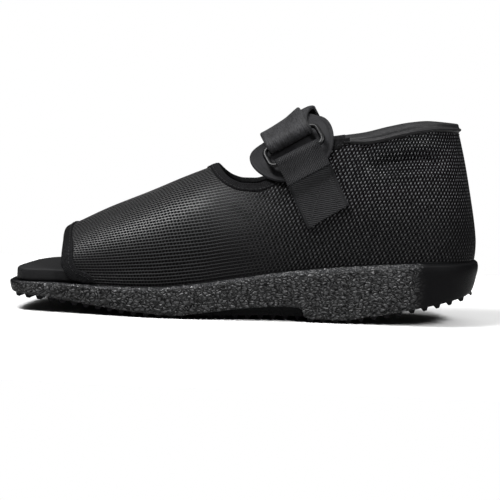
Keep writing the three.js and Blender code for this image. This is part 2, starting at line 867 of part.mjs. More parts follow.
const parts = [
  { name: 'outsole', solid: buildOutsole(), color: 0x1b1b1c, roughness: 0.45 },
  { name: 'insole', solid: buildInsole(), color: 0x121213, roughness: 0.8 },
  { name: 'upper', solid: buildUpper(), color: 0x202022, roughness: 0.9 },
  { name: 'toe_binding', solid: buildToeBinding(), color: 0x2c2c2e, roughness: 0.9 },
  { name: 'throat_binding', solid: buildOpeningBand(false), color: 0x38383a, roughness: 0.9 },
  { name: 'collar_roll', solid: buildOpeningBand(true), color: 0x19191a, roughness: 0.85 },
  { name: 'ring_pad', solid: buildPad(), color: 0x2a2a2c, roughness: 0.9 },
  { name: 'webbing', solid: buildWebbing(), color: 0x242426, roughness: 0.85 },
  { name: 'ring', solid: buildRing(), color: 0x0c0c0d, roughness: 0.2 },
  { name: 'strap', solid: buildStrap(), color: 0x303032, roughness: 0.8 },
];

const shoe = new THREE.Group();
shoe.name = 'fracture_shoe';
parts.forEach(({ name, solid, color, roughness }) => {
  const material = new THREE.MeshStandardMaterial({ color, roughness });
  const mesh = new THREE.Mesh(slantToe(geometryOf(solid)), material);
  mesh.name = name;
  shoe.add(mesh);
});

export default shoe;
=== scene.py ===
"""Looks of a black fracture shoe: sole, footbed, mesh upper and a strap through a ring."""

import logging
from collections.abc import Callable, Sequence
from copy import copy
from dataclasses import dataclass, field, replace
from enum import Enum
from functools import partial

import bmesh
import bpy
import numpy as np
from mathutils import Matrix, Vector

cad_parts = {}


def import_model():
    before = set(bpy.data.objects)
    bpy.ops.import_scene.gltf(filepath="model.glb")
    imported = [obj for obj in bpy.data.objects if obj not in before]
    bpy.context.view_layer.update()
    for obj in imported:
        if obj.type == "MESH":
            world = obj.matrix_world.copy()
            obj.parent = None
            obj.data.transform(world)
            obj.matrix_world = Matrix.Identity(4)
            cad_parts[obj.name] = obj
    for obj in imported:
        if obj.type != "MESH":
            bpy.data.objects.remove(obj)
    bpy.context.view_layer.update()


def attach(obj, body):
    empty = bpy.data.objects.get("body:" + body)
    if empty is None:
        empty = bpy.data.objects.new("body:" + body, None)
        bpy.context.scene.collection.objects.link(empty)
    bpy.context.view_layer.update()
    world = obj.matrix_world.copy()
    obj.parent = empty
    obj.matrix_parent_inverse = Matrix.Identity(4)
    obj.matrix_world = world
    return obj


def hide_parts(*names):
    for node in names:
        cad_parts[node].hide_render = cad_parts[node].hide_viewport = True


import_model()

LOG = logging.getLogger("fracture_shoe")
MM = 0.001
Array = np.ndarray
Value = float | np.ndarray
Colour = tuple[float, float, float]
Bar = Callable[[Array], tuple[Array, Array]]
Curve = Callable[[float], float]
MIRROR = np.array([1.0, -1.0, 1.0])
MIDDLE = np.array([1.0, 0.0, 1.0])


# Shapes shared by every piece


def smooth(low: float, high: float, value: Value) -> Array:
    """Smoothstep of a value between two bounds, which may be given high to low."""
    t = np.clip((np.asarray(value, float) - low) / (high - low), 0.0, 1.0)
    return t * t * (3.0 - 2.0 * t)


def lerp(start: Value, end: Value, t: Value) -> Array:
    """The value a share of the way from start to end."""
    return start + (end - start) * t


def unit(vectors: Array) -> Array:
    """Vectors scaled to length 1."""
    size = np.linalg.norm(vectors, axis=-1, keepdims=True)
    return vectors / np.maximum(size, 1e-12)


def hump(value: Value, width: float) -> Array:
    """A soft bump of height 1 at 0."""
    return np.exp(-((np.asarray(value, float) / width) ** 2))


def around(count: int) -> Array:
    """Even angles round a circle, from 0."""
    return np.linspace(0, 2 * np.pi, count, endpoint=False)


def run_along(points: Array) -> Array:
    """Run along a line of points, from 0."""
    step = np.linalg.norm(np.diff(points, axis=0), axis=-1)
    return np.concatenate([[0], np.cumsum(step)])


def hermite(value: Array, slope: Array, i: Array, t: Array, span: Array) -> Array:
    """A smooth curve through values with given slopes.

    Args:
        value: the values, by row.
        slope: their slopes.
        i: the row before each place.
        t: the share of the way to the next row.
        span: the distance between the two rows.

    Returns:
        The curve's values.
    """
    t2, t3 = t * t, t * t * t
    ends = value[i] * (2 * t3 - 3 * t2 + 1) + value[i + 1] * (3 * t2 - 2 * t3)
    return ends + span * (slope[i] * (t3 - 2 * t2 + t) + slope[i + 1] * (t3 - t2))


def halve(
    low: Value, high: Value, below: Callable[[Array], Array], rounds: int = 34
) -> tuple[Array, Array]:
    """Closes two bounds in on the place where a test stops being true.

    Args:
        low: bounds where the test holds.
        high: bounds where it fails.
        below: the test.
        rounds: how often to halve.

    Returns:
        The last bounds.
    """
    for _ in range(rounds):
        middle = (low + high) / 2
        held = below(middle)
        low, high = np.where(held, middle, low), np.where(held, high, middle)
    return low, high


class Column:
    """A smooth function through the rows of a table, with no overshoot."""

    def __init__(self, rows: Sequence[tuple[float, float]]) -> None:
        """Works out the slopes.

        Args:
            rows: pairs of a place and the value there, in order.
        """
        self.x, self.y = np.array(rows, float).T
        rates = np.diff(self.y) / np.diff(self.x)
        product = rates[:-1] * rates[1:]
        total = rates[:-1] + rates[1:]
        inner = np.where(product > 0, 2 * product / np.where(product > 0, total, 1.0), 0.0)
        self.slope = np.concatenate([rates[:1], inner, rates[-1:]])

    def __call__(self, value: Value) -> Array:
        """The table's value at a place.

        Args:
            value: the place.

        Returns:
            The value there.
        """
        v = np.clip(np.asarray(value, float), self.x[0], self.x[-1])
        i = np.clip(np.searchsorted(self.x, v, side="right") - 1, 0, len(self.x) - 2)
        span = self.x[i + 1] - self.x[i]
        return hermite(self.y, self.slope, i, (v - self.x[i]) / span, span)


@dataclass
class Patch:
    """A surface in the making: points in millimetres, faces, and each point's place on the cloth."""

    points: list[Array] = field(default_factory=list)
    lay: list[Array] = field(default_factory=list)
    faces: list[list[int]] = field(default_factory=list)
    count: int = 0

    def add(self, points: Array, lay: Array | None = None) -> Array:
        """Adds points.

        Args:
            points: an array whose last axis is x, y, z.
            lay: their places on the cloth and their masks, in the same shape.

        Returns:
            The new points' indices, in the shape of the array.
        """
        index = np.arange(self.count, self.count + points[..., 0].size).reshape(points.shape[:-1])
        self.points.append(points.reshape(-1, 3))
        self.lay.append((np.zeros_like(points) if lay is None else lay).reshape(-1, 3))
        self.count += index.size
        return index

    def grid(self, index: Array, wrap_rows: bool = False, wrap_columns: bool = False) -> None:
        """Joins a grid of points with four-sided faces, round on itself where asked.

        Args:
            index: the points' indices, rows by columns.
            wrap_rows: True to join the last row to the first.
            wrap_columns: True to join the last column to the first.
        """
        rows = np.vstack([index, index[:1]]) if wrap_rows else index
        rows = np.hstack([rows, rows[:, :1]]) if wrap_columns else rows
        a, b, c, d = rows[:-1, :-1], rows[1:, :-1], rows[1:, 1:], rows[:-1, 1:]
        self.faces += np.stack([a, b, c, d], -1).reshape(-1, 4).tolist()

    def sheet(self, points: Array, lay: Array | None = None) -> Array:
        """Adds a grid of points with its faces.

        Args:
            points: rows by columns of points.
            lay: their places on the cloth.

        Returns:
            The points' indices.
        """
        index = self.add(points, lay)
        self.grid(index)
        return index

    def mirrored(self, points: Array, lay: Array | None = None) -> None:
        """Adds a grid of points and its mirror image across the shoe."""
        self.sheet(points, lay)
        self.sheet(points * MIRROR, lay)

    def cap(self, *rings: Array) -> None:
        """Closes rings of indices with a face each."""
        self.faces += [ring.tolist() for ring in rings]


@dataclass(frozen=True)
class Slant:
    """The toe's slant: the far side of the toe stands back from the big toe's side."""

    amount: float = 19.0
    reach: float = 0.2
    ball_width: float = 108.0
    length: float = 293.4
    lost: float = 0.0

    def back(self, x: Array, y: Array) -> Array:
        """How far a point moves back."""
        fade = 1 - smooth(0, self.reach, x / self.length + 0.5)
        return (self.amount * (0.5 + y / self.ball_width) - self.lost) * fade

    def apply(self, points: Array) -> Array:
        """Moves points with the slant.

        Args:
            points: points in millimetres.

        Returns:
            The moved points.
        """
        moved = points.copy()
        moved[..., 0] += self.back(points[..., 0], points[..., 1])
        return moved


def link(name: str, data: bpy.types.ID) -> bpy.types.Object:
    """Puts an object in the scene.

    Args:
        name: its name.
        data: its mesh, lamp or camera.

    Returns:
        The object.
    """
    made = bpy.data.objects.new(name, data)
    bpy.context.scene.collection.objects.link(made)
    return made


def make_piece(
    name: str, patch: Patch, slant: Slant | None = None, weld: float = 0.01
) -> bpy.types.Object:
    """Makes a mesh object of a patch.

    Args:
        name: the piece's name.
        patch: its points, faces and lay.
        slant: the toe's slant, where the piece reaches the toe.
        weld: points closer than this many millimetres become one.

    Returns:
        The object, linked to the scene.
    """
    points = np.vstack(patch.points)
    if slant is not None:
        points = slant.apply(points)
    mesh = bpy.data.meshes.new(name)
    mesh.from_pydata((points * MM).tolist(), [], patch.faces)
    corner = np.zeros(len(mesh.loops), dtype=np.int32)
    mesh.loops.foreach_get("vertex_index", corner)
    on = np.vstack(patch.lay)[corner]
    lay = mesh.attributes.new("lay", "FLOAT_VECTOR", "CORNER")
    lay.data.foreach_set("vector", on.astype(np.float32).ravel())
    work = bmesh.new()
    work.from_mesh(mesh)
    bmesh.ops.remove_doubles(work, verts=work.verts, dist=weld * MM)
    bmesh.ops.recalc_face_normals(work, faces=work.faces)
    work.to_mesh(mesh)
    work.free()
    mesh.shade_smooth()
    mesh.update()
    return link(name, mesh)


def settle(piece: bpy.types.Object, slot: str, finish: "Finish", *nodes: str) -> bpy.types.Object:
    """Gives a piece its finish and its body, and hides the CAD nodes that it stands for.

    Args:
        piece: the object.
        slot: the record's material slot; not used.
        finish: the finish that dresses it.
        nodes: the CAD nodes that it replaces.

    Returns:
        The same object.
    """
    piece.data.materials.clear()
    piece.data.materials.append(finish.material())
    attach(piece, "root")
    if nodes:
        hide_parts(*nodes)
    return piece


# Shader maths


class Bench:
    """A node tree, with one method that makes any node."""

    def __init__(self, owner: bpy.types.Material | bpy.types.World, output: str) -> None:
        """Empties a tree and gives it its output node.

        Args:
            owner: the material or world.
            output: the output node's type.
        """
        self.owner = owner
        self.owner.use_nodes = True
        self.tree = owner.node_tree
        self.tree.nodes.clear()
        self.exit = self.tree.nodes.new(output)

    def node(
        self, kind: str, settings: dict | None = None, sockets: dict | None = None
    ) -> bpy.types.Node:
        """Makes a node.

        Args:
            kind: Blender's type of the node.
            settings: its properties, set before anything else.
            sockets: values or links, by socket name or number.

        Returns:
            The node.
        """
        made = self.tree.nodes.new(kind)
        for key, value in (settings or {}).items():
            setattr(made, key, value)
        for key, value in (sockets or {}).items():
            socket = made.inputs[key]
            if isinstance(value, Wire):
                self.tree.links.new(value.socket, socket)
            else:
                socket.default_value = value
        return made

    def wire(
        self, kind: str, settings: dict | None = None, sockets: dict | None = None, out: int | str = 0
    ) -> "Wire":
        """Makes a node and returns one of its outputs."""
        return Wire(self, self.node(kind, settings, sockets).outputs[out])

    def lay(self) -> list["Wire"]:
        """Reads the place on the cloth.

        Returns:
            The places along and across, in millimetres, and the mask.
        """
        vector = self.wire("ShaderNodeAttribute", {"attribute_name": "lay"}, out="Vector")
        parts = self.node("ShaderNodeSeparateXYZ", None, {0: vector}).outputs
        return [Wire(self, part) for part in parts]

    def place(self, stretch: Sequence[float] = (1.0, 1.0, 1.0)) -> "Wire":
        """Object coordinates in millimetres.

        Args:
            stretch: factors for x, y and z.

        Returns:
            The stretched place.
        """
        coordinate = self.wire("ShaderNodeTexCoord", out="Object")
        factor = tuple(s / MM for s in stretch)
        return self.wire("ShaderNodeVectorMath", {"operation": "MULTIPLY"}, {0: coordinate, 1: factor})

    def join(self, x: "Wire | float", y: "Wire | float", z: "Wire | float" = 0.0) -> "Wire":
        """A vector of three numbers."""
        return self.wire("ShaderNodeCombineXYZ", None, {0: x, 1: y, 2: z})

    def noise(self, vector: "Wire", scale: float, detail: float = 2.0, roughness: float = 0.5) -> "Wire":
        """A cloud pattern from 0 to 1."""
        sockets = {"Vector": vector, "Scale": scale, "Detail": detail, "Roughness": roughness}
        return self.wire("ShaderNodeTexNoise", None, sockets)

    def cells(self, vector: "Wire", scale: float, feature: str = "F1") -> "Wire":
        """Distances in a cell pattern."""
        sockets = {"Vector": vector, "Scale": scale}
        return self.wire("ShaderNodeTexVoronoi", {"feature": feature}, sockets, "Distance")

    def tint(self, mask: "Wire", low: Colour, high: Colour) -> "Wire":
        """A colour between two by a mask."""
        return self.blend(mask, (*low, 1.0), (*high, 1.0))

    def blend(self, mask: "Wire", low: "Wire | tuple", high: "Wire | tuple") -> "Wire":
        """A colour between two colour wires, or colours with their alpha, by a mask."""
        settings = {"data_type": "RGBA", "clamp_factor": True}
        return self.wire("ShaderNodeMix", settings, {0: mask, 6: low, 7: high}, 2)

    def bump(self, height: "Wire", distance: float) -> "Wire":
        """A normal from a height in units of `distance` millimetres."""
        return self.wire("ShaderNodeBump", None, {"Distance": distance * MM, "Height": height})

    def principled(
        self, colour: "Wire", roughness: "Wire | float", normal: "Wire", **fixed: float
    ) -> "Wire":
        """A Principled shader.

        Args:
            colour: base colour.
            roughness: roughness.
            normal: the bumped normal.
            fixed: constants of other sockets, spaces written as underscores.

        Returns:
            The shader.
        """
        sockets: dict = {"Base Color": colour, "Roughness": roughness, "Normal": normal}
        sockets |= {key.replace("_", " "): value for key, value in fixed.items()}
        return self.wire("ShaderNodeBsdfPrincipled", None, sockets)

    def mix(self, factor: "Wire", low: "Wire", high: "Wire") -> "Wire":
        """Two shaders mixed by a factor."""
        return self.wire("ShaderNodeMixShader", None, {0: factor, 1: low, 2: high})

    def ends(self, shader: "Wire") -> bpy.types.ID:
        """Joins a shader to the output and returns the tree's owner."""
        self.tree.links.new(shader.socket, self.exit.inputs[0])
        return self.owner


class Wire:
    """A socket that Python's operators turn into Math nodes."""

    def __init__(self, bench: Bench, socket: bpy.types.NodeSocket) -> None:
        """Holds a socket of a bench's tree."""
        self.bench = bench
        self.socket = socket

    def math(self, operation: str, *others: "Wire | float") -> "Wire":
        """A Math node on this wire and others."""
        sockets = {i: value for i, value in enumerate((self, *others))}
        return self.bench.wire("ShaderNodeMath", {"operation": operation}, sockets)

    def flip(self, operation: str, other: "Wire | float") -> "Wire":
        """A Math node with this wire second."""
        return self.bench.wire("ShaderNodeMath", {"operation": operation}, {0: other, 1: self})

    def __add__(self, other: "Wire | float") -> "Wire":
        """Sum."""
        return self.math("ADD", other)

    def __radd__(self, other: float) -> "Wire":
        """Sum with the number first."""
        return self.flip("ADD", other)

    def __sub__(self, other: "Wire | float") -> "Wire":
        """Difference."""
        return self.math("SUBTRACT", other)

    def __rsub__(self, other: float) -> "Wire":
        """Difference with the number first."""
        return self.flip("SUBTRACT", other)

    def __mul__(self, other: "Wire | float") -> "Wire":
        """Product."""
        return self.math("MULTIPLY", other)

    def __rmul__(self, other: float) -> "Wire":
        """Product with the number first."""
        return self.flip("MULTIPLY", other)

    def fraction(self) -> "Wire":
        """The part after the point."""
        return self.math("FRACT")

    def whole(self) -> "Wire":
        """The whole number below."""
        return self.math("FLOOR")

    def wave(self) -> "Wire":
        """Cosine of the wire counted in turns, from 0 to 1."""
        return (self * (2 * np.pi)).math("COSINE") * 0.5 + 0.5

    def step(self, low: float, high: float) -> "Wire":
        """Smoothstep between two bounds, clamped.

        Args:
            low: where it is 0.
            high: where it is 1.

        Returns:
            The step.
        """
        settings = {"interpolation_type": "SMOOTHSTEP"}
        rising = low < high
        sockets = {"Value": self, "From Min": min(low, high), "From Max": max(low, high)}
        sockets |= {"To Min": 0.0 if rising else 1.0, "To Max": 1.0 if rising else 0.0}
        return self.bench.wire("ShaderNodeMapRange", settings, sockets)


# Finishes


class Finish:
    """A finish that makes its material once, between a low tone and a high one."""

    name = "finish"
    low: Colour
    high: Colour

    def material(self) -> bpy.types.Material:
        """The finish's material, made on the first call."""
        found = bpy.data.materials.get(self.name)
        return found or self.dress(Bench(bpy.data.materials.new(self.name), "ShaderNodeOutputMaterial"))

    def dress(self, bench: Bench) -> bpy.types.Material:
        """Builds the nodes.

        Args:
            bench: the material's tree.

        Returns:
            The material.
        """
        raise NotImplementedError

    def close(
        self,
        bench: Bench,
        mask: Wire,
        height: Wire,
        depth: float,
        roughness: Wire | float,
        specular: float,
        sheen: float = 0.0,
    ) -> bpy.types.Material:
        """Ends a material in one Principled shader.

        Args:
            bench: the material's tree.
            mask: 0 for the low tone, 1 for the high one.
            height: of the surface, in units of the depth.
            depth: of the bump, in millimetres.
            roughness: roughness.
            specular: specular level.
            sheen: sheen weight.

        Returns:
            The material.
        """
        colour, normal = bench.tint(mask, self.low, self.high), bench.bump(height, depth)
        fixed = {"Specular_IOR_Level": specular, "Sheen_Weight": sheen}
        return bench.ends(bench.principled(colour, roughness, normal, **fixed))


@dataclass(frozen=True)
class PebbledFoam(Finish):
    """Moulded foam rubber: glossy, with a pebbled grain that fades where the sole is smooth."""

    name: str = "pebbled_foam"
    grain: float = 2.3
    low: Colour = (0.0008, 0.0008, 0.0009)
    high: Colour = (0.0075, 0.0077, 0.0088)
    depth: float = 0.75

    def dress(self, bench: Bench) -> bpy.types.Material:
        """Pebbles with creases between them, a painted highlight along the top edge and painted shade in
        the creases.

        Args:
            bench: the material's tree.

        Returns:
            The material.
        """
        _, rise, plain = bench.lay()
        place = bench.place((0.82, 1.0, 1.18))
        warp = bench.noise(place, 0.3, 1.0) - 0.5
        bend = bench.join(warp * 3.4, warp * -2.0, warp * 2.6)
        shifted = bench.wire("ShaderNodeVectorMath", {"operation": "ADD"}, {0: place, 1: bend})
        crease = bench.cells(shifted, 1 / self.grain, "DISTANCE_TO_EDGE")
        wrinkle = 1 - (bench.noise(shifted, 0.42, 1.0) - 0.5).math("ABSOLUTE") * 5.0
        fine = bench.noise(place, 3.0, 3.0)
        pebble = crease.step(0.0, 0.34)
        grainy = 1 - plain
        height = (pebble * 0.75 + wrinkle.step(0.1, 1.0) * 0.35) * grainy + fine * 0.012
        broad = bench.noise(place, 0.035, 2.0)
        # Painted highlight: a lighter, glossier band along the wall's top edge.
        top = rise.step(0.86, 0.97)
        mask = (pebble * 0.7 + 0.1) * grainy + broad * 0.3 + top * 1.2 + fine * 0.05
        colour = bench.tint(mask, self.low, self.high)
        roughness = 0.31 + (1 - pebble) * grainy * 0.2 + (broad - 0.5) * 0.1 - top * 0.08
        normal = bench.bump(height, self.depth)
        domes = bench.principled(colour, roughness, normal, Specular_IOR_Level=0.55)
        # Painted shade: the creases between the pebbles take the darkest tone, the domes a lighter one.
        dark = bench.tint(fine, self.low, self.low)
        shaded_creases = bench.principled(dark, 0.6, normal, Specular_IOR_Level=0.04)
        gloss = pebble * 0.65 + wrinkle.step(0.2, 1.0) * 0.25 + top * 0.5
        grained = bench.mix(gloss, shaded_creases, domes)
        dull = bench.tint(fine * 0.5 + broad * 0.5, self.low, tuple(0.25 * c for c in self.high))
        skin = bench.bump(fine + broad * 3.0, 0.12)
        smooth_zone = bench.principled(dull, 0.45 + fine * 0.12, skin, Specular_IOR_Level=0.04)
        return bench.ends(bench.mix(plain, grained, smooth_zone))


@dataclass(frozen=True)
class FootbedFoam(Finish):
    """Dense matte foam: a closed skin with fine pores."""

    name: str = "footbed_foam"
    low: Colour = (0.003, 0.003, 0.0033)
    high: Colour = (0.0045, 0.0045, 0.0049)

    def dress(self, bench: Bench) -> bpy.types.Material:
        """Fine pores and a brushed nap.

        Args:
            bench: the material's tree.

        Returns:
            The material.
        """
        place = bench.place()
        pores = bench.cells(place, 1.6)
        nap = bench.noise(place, 2.4, 4.0, 0.65)
        broad = bench.noise(place, 0.05, 2.0)
        mask, height = nap * 0.6 + broad * 0.5 - 0.1, nap * 0.6 + pores * 0.4
        return self.close(bench, mask, height, 0.16, 0.58 + nap * 0.2, specular=0.12)


@dataclass(frozen=True)
class SpacerMesh(Finish):
    """Spacer mesh: rows of leaning loops with holes between them, painted glints on the loops and painted
    shade in the holes and the lowest rows.
    """

    name: str = "spacer_mesh"
    # Painted shade in the holes between the loops: far darker than the yarn.
    shaded_hole: Colour = (0.0006, 0.0006, 0.0007)
    yarn: Colour = (0.004, 0.004, 0.0044)
    # Painted glint colour of the loops' lit tops.
    bright: Colour = (0.038, 0.0383, 0.042)
    depth: float = 0.8

    def dress(self, bench: Bench) -> bpy.types.Material:
        """Each cell of the lay holds one raised loop, set over by a third on every row.

        Args:
            bench: the material's tree.

        Returns:
            The material.
        """
        along, across, rear = bench.lay()
        place = bench.place()
        row = across.whole()
        sway = bench.noise(place, 0.12, 1.0) * 0.25 + bench.noise(place, 0.5, 1.0) * 0.45
        shift = along + row * (1 / 3) + sway
        x = shift.fraction() - 0.5
        y = across.fraction() - 0.5
        lean = x - y * 0.42
        loop = (lean * lean * 9.5 + y * y * 5.2).math("SQRT").step(1.0, 0.35)
        grid = (x * x * 1.15 + y * y).math("SQRT").step(0.31, 0.48)
        # Painted shade: the loops darken and dull over the lowest rows, next to the sole.
        low = across.step(25.0, 5.0)
        bar = y.math("ABSOLUTE").step(0.28, 0.44)
        yarn = (loop * rear + grid * (bar * 0.6 + 0.4) * (1 - rear)) * (1 - low * 0.42)
        twist = (shift * 3.0 + across * 2.0).wave() * 0.5 + 0.5
        number = bench.join(shift.whole(), row)
        cell = bench.wire("ShaderNodeTexWhiteNoise", {"noise_dimensions": "2D"}, {"Vector": number})
        broad = bench.noise(place, 0.03, 3.0)
        height = (yarn * 0.85 + bar * 0.28 + twist * yarn * 0.1) * (0.42 + rear * 0.58)
        # Painted highlight: the loops' tops are tinted towards the painted glint colour, strongest on the
        # rear loops.
        lit = yarn * (0.3 + cell * 0.65 + broad * 0.3) * (0.7 + twist * 0.3) * (0.5 + rear * 1.5)
        base = bench.tint(yarn * 0.8 + bar * 0.25, self.shaded_hole, self.yarn)
        top = bench.tint(lit, self.shaded_hole, self.bright)
        colour = bench.blend(lit * 0.75, base, top)
        normal = bench.bump(height, self.depth)
        thread = bench.principled(colour, 0.36 + cell * 0.1, normal, Specular_IOR_Level=0.6)
        gap = bench.principled(base, 0.7 + cell * 0.1, normal, Specular_IOR_Level=0.02)
        shine = yarn * (0.92 - low * 0.4) + bar * rear * 0.1
        return bench.ends(bench.mix(shine, gap, thread))


@dataclass(frozen=True)
class KnitTape(Finish):
    """Knitted binding tape: fine ribs across it and a brushed face."""

    name: str = "knit_tape"
    low: Colour = (0.0012, 0.0012, 0.0013)
    high: Colour = (0.0085, 0.0085, 0.0094)

    def dress(self, bench: Bench) -> bpy.types.Material:
        """Ribs, stitches and a nap.

        Args:
            bench: the material's tree.

        Returns:
            The material.
        """
        along, across, shade = bench.lay()
        place = bench.place()
        rib = (along * (1 / 1.05) + (across * 0.9).wave() * 0.12).wave()
        course = (across * (1 / 0.85)).wave()
        nap = bench.noise(place, 0.75, 4.0, 0.7)
        broad = bench.noise(place, 0.08, 2.0)
        height = rib * 0.5 + course * 0.3 + nap * 1.1
        mask = (rib * 0.3 + course * 0.15 + nap * 2.2 + broad * 0.3 - 1.15) * (1 - shade * 0.85)
        return self.close(bench, mask, height, 0.4, 0.62 + nap * 0.2, specular=0.03, sheen=0.01)


@dataclass(frozen=True)
class CollarCloth(Finish):
    """Smooth knitted lining cloth rolled over the collar's padding."""

    name: str = "collar_cloth"
    low: Colour = (0.002, 0.002, 0.0023)
    high: Colour = (0.0046, 0.0046, 0.0053)

    def dress(self, bench: Bench) -> bpy.types.Material:
        """A fine weave under a soft sheen, with slight puckers.

        Args:
            bench: the material's tree.

        Returns:
            The material.
        """
        along, across, shade = bench.lay()
        place = bench.place()
        warp = (along * (1 / 0.62) + across * 0.25).wave()
        weft = (across * (1 / 0.62)).wave()
        pucker = bench.noise(place, 0.16, 2.0)
        nap = bench.noise(place, 2.6, 3.0, 0.6)
        mask = (nap * 0.45 + pucker * 0.5) * (1 - shade * 0.8)
        height = warp * 0.12 + weft * 0.12 + pucker * 1.6 + nap * 0.15
        return self.close(bench, mask, height, 0.32, 0.4 + nap * 0.14, specular=0.15, sheen=0.01)


@dataclass(frozen=True)
class LoopPile(Finish):
    """Brushed loop pile of the strap: a satin fuzz with darker roots."""

    name: str = "loop_pile"
    low: Colour = (0.002, 0.002, 0.0023)
    high: Colour = (0.023, 0.023, 0.0256)

    def dress(self, bench: Bench) -> bpy.types.Material:
        """Tufts in loose rows, combed along the strap.

        Args:
            bench: the material's tree.

        Returns:
            The material.
        """
        along, across, _ = bench.lay()
        flat = bench.join(along * 0.55, across)
        tuft = bench.cells(flat, 0.62)
        hair = bench.noise(flat, 1.1, 5.0, 0.75)
        worn = bench.noise(flat, 0.16, 3.0)
        rows = (across * (1 / 1.3) + worn * 0.6).wave()
        height = (1 - tuft) * 0.55 + hair * 0.75 + rows * 0.14
        mask = (1 - tuft) * 0.35 + hair * 1.2 + worn * 0.5 - 0.75
        return self.close(bench, mask, height, 0.5, 0.46 + hair * 0.2, specular=0.14, sheen=0.02)


@dataclass(frozen=True)
class TwillWebbing(Finish):
    """Woven webbing: fine diagonal ribs with selvedges along both edges."""

    name: str = "twill_webbing"
    low: Colour = (0.0004, 0.0004, 0.0004)
    high: Colour = (0.0135, 0.0136, 0.0149)
    half: float = 14.75

    def dress(self, bench: Bench) -> bpy.types.Material:
        """Diagonals that turn round at the selvedge.

        Args:
            bench: the material's tree.

        Returns:
            The material.
        """
        along, across, _ = bench.lay()
        place = bench.place()
        edge = across.math("ABSOLUTE").step(self.half - 2.2, self.half - 1.6)
        twill = (across * (1 / 1.9) + along * (1 / 1.5)).wave()
        pick = (along * (1 / 0.72)).wave()
        back = (across * (1 / 1.1) - along * (1 / 1.5)).wave()
        ribs = twill * (1 - edge) + back * edge
        fibre = bench.noise(place, 3.2, 3.0)
        broad = bench.noise(place, 0.09, 2.0)
        height = ribs * 0.8 + pick * 0.25 + fibre * 0.2
        mask = ribs * 0.75 + pick * 0.12 + fibre * 0.2 + broad * 0.35 - 0.25
        roughness = 0.5 + fibre * 0.12 - ribs * 0.08
        return self.close(bench, mask, height, 0.38, roughness, specular=0.08)


@dataclass(frozen=True)
class GlossPlastic(Finish):
    """Glossy moulded plastic of the ring, lightly rubbed."""

    name: str = "gloss_plastic"
    low: Colour = (0.0012, 0.0012, 0.0014)
    high: Colour = (0.005, 0.005, 0.006)

    def dress(self, bench: Bench) -> bpy.types.Material:
        """A faint flow and fine rub marks.

        Args:
            bench: the material's tree.

        Returns:
            The material.
        """
        place = bench.place()
        flow = bench.noise(place, 0.22, 2.0)
        rub = bench.noise(bench.place((3.0, 0.6, 0.6)), 1.1, 4.0)
        mask, height = rub.step(0.56, 0.8), flow + rub * 0.12
        return self.close(bench, mask, height, 0.12, 0.3 + rub * 0.16, specular=0.13)


@dataclass(frozen=True)
class PaddedCloth(Finish):
    """Brushed cloth over the round pad, with its bound edge."""

    name: str = "padded_cloth"
    low: Colour = (0.0015, 0.0015, 0.0017)
    high: Colour = (0.0125, 0.0125, 0.0142)

    def dress(self, bench: Bench) -> bpy.types.Material:
        """A nap with a fine knit beneath.

        Args:
            bench: the material's tree.

        Returns:
            The material.
        """
        along, across, _ = bench.lay()
        place = bench.place()
        knit = (along * (1 / 0.8)).wave() * (across * (1 / 0.8)).wave()
        nap = bench.noise(place, 0.85, 4.0, 0.7)
        broad = bench.noise(place, 0.1, 2.0)
        mask, height = nap * 1.4 + broad * 0.4 - 0.5, knit * 0.25 + nap * 0.6
        return self.close(bench, mask, height, 0.3, 0.55 + nap * 0.2, specular=0.1, sheen=0.01)


@dataclass(frozen=True)
class SewingThread(Finish):
    """Twisted sewing thread."""

    name: str = "sewing_thread"
    low: Colour = (0.0006, 0.0006, 0.0007)
    high: Colour = (0.006, 0.006, 0.0066)

    def dress(self, bench: Bench) -> bpy.types.Material:
        """Two plies that wind round each other.

        Args:
            bench: the material's tree.

        Returns:
            The material.
        """
        along, across, _ = bench.lay()
        ply = (along * (1 / 0.55) + across).wave()
        return self.close(bench, ply * 0.8 + 0.1, ply, 0.06, 0.45 + (1 - ply) * 0.15, specular=0.2)


@dataclass(frozen=True)
class StudioFloor(Finish):
    """A plain pale floor."""

    name: str = "studio_floor"
    low: Colour = (0.5122, 0.5122, 0.5122)
    high: Colour = (0.52, 0.52, 0.52)

    def dress(self, bench: Bench) -> bpy.types.Material:
        """Nearly even, with the faintest grain.

        Args:
            bench: the material's tree.

        Returns:
            The material.
        """
        grain = bench.noise(bench.place(), 0.01, 2.0)
        return self.close(bench, 1 - grain, grain, 0.02, 0.75, specular=0.2)


# The sole's outline and the last


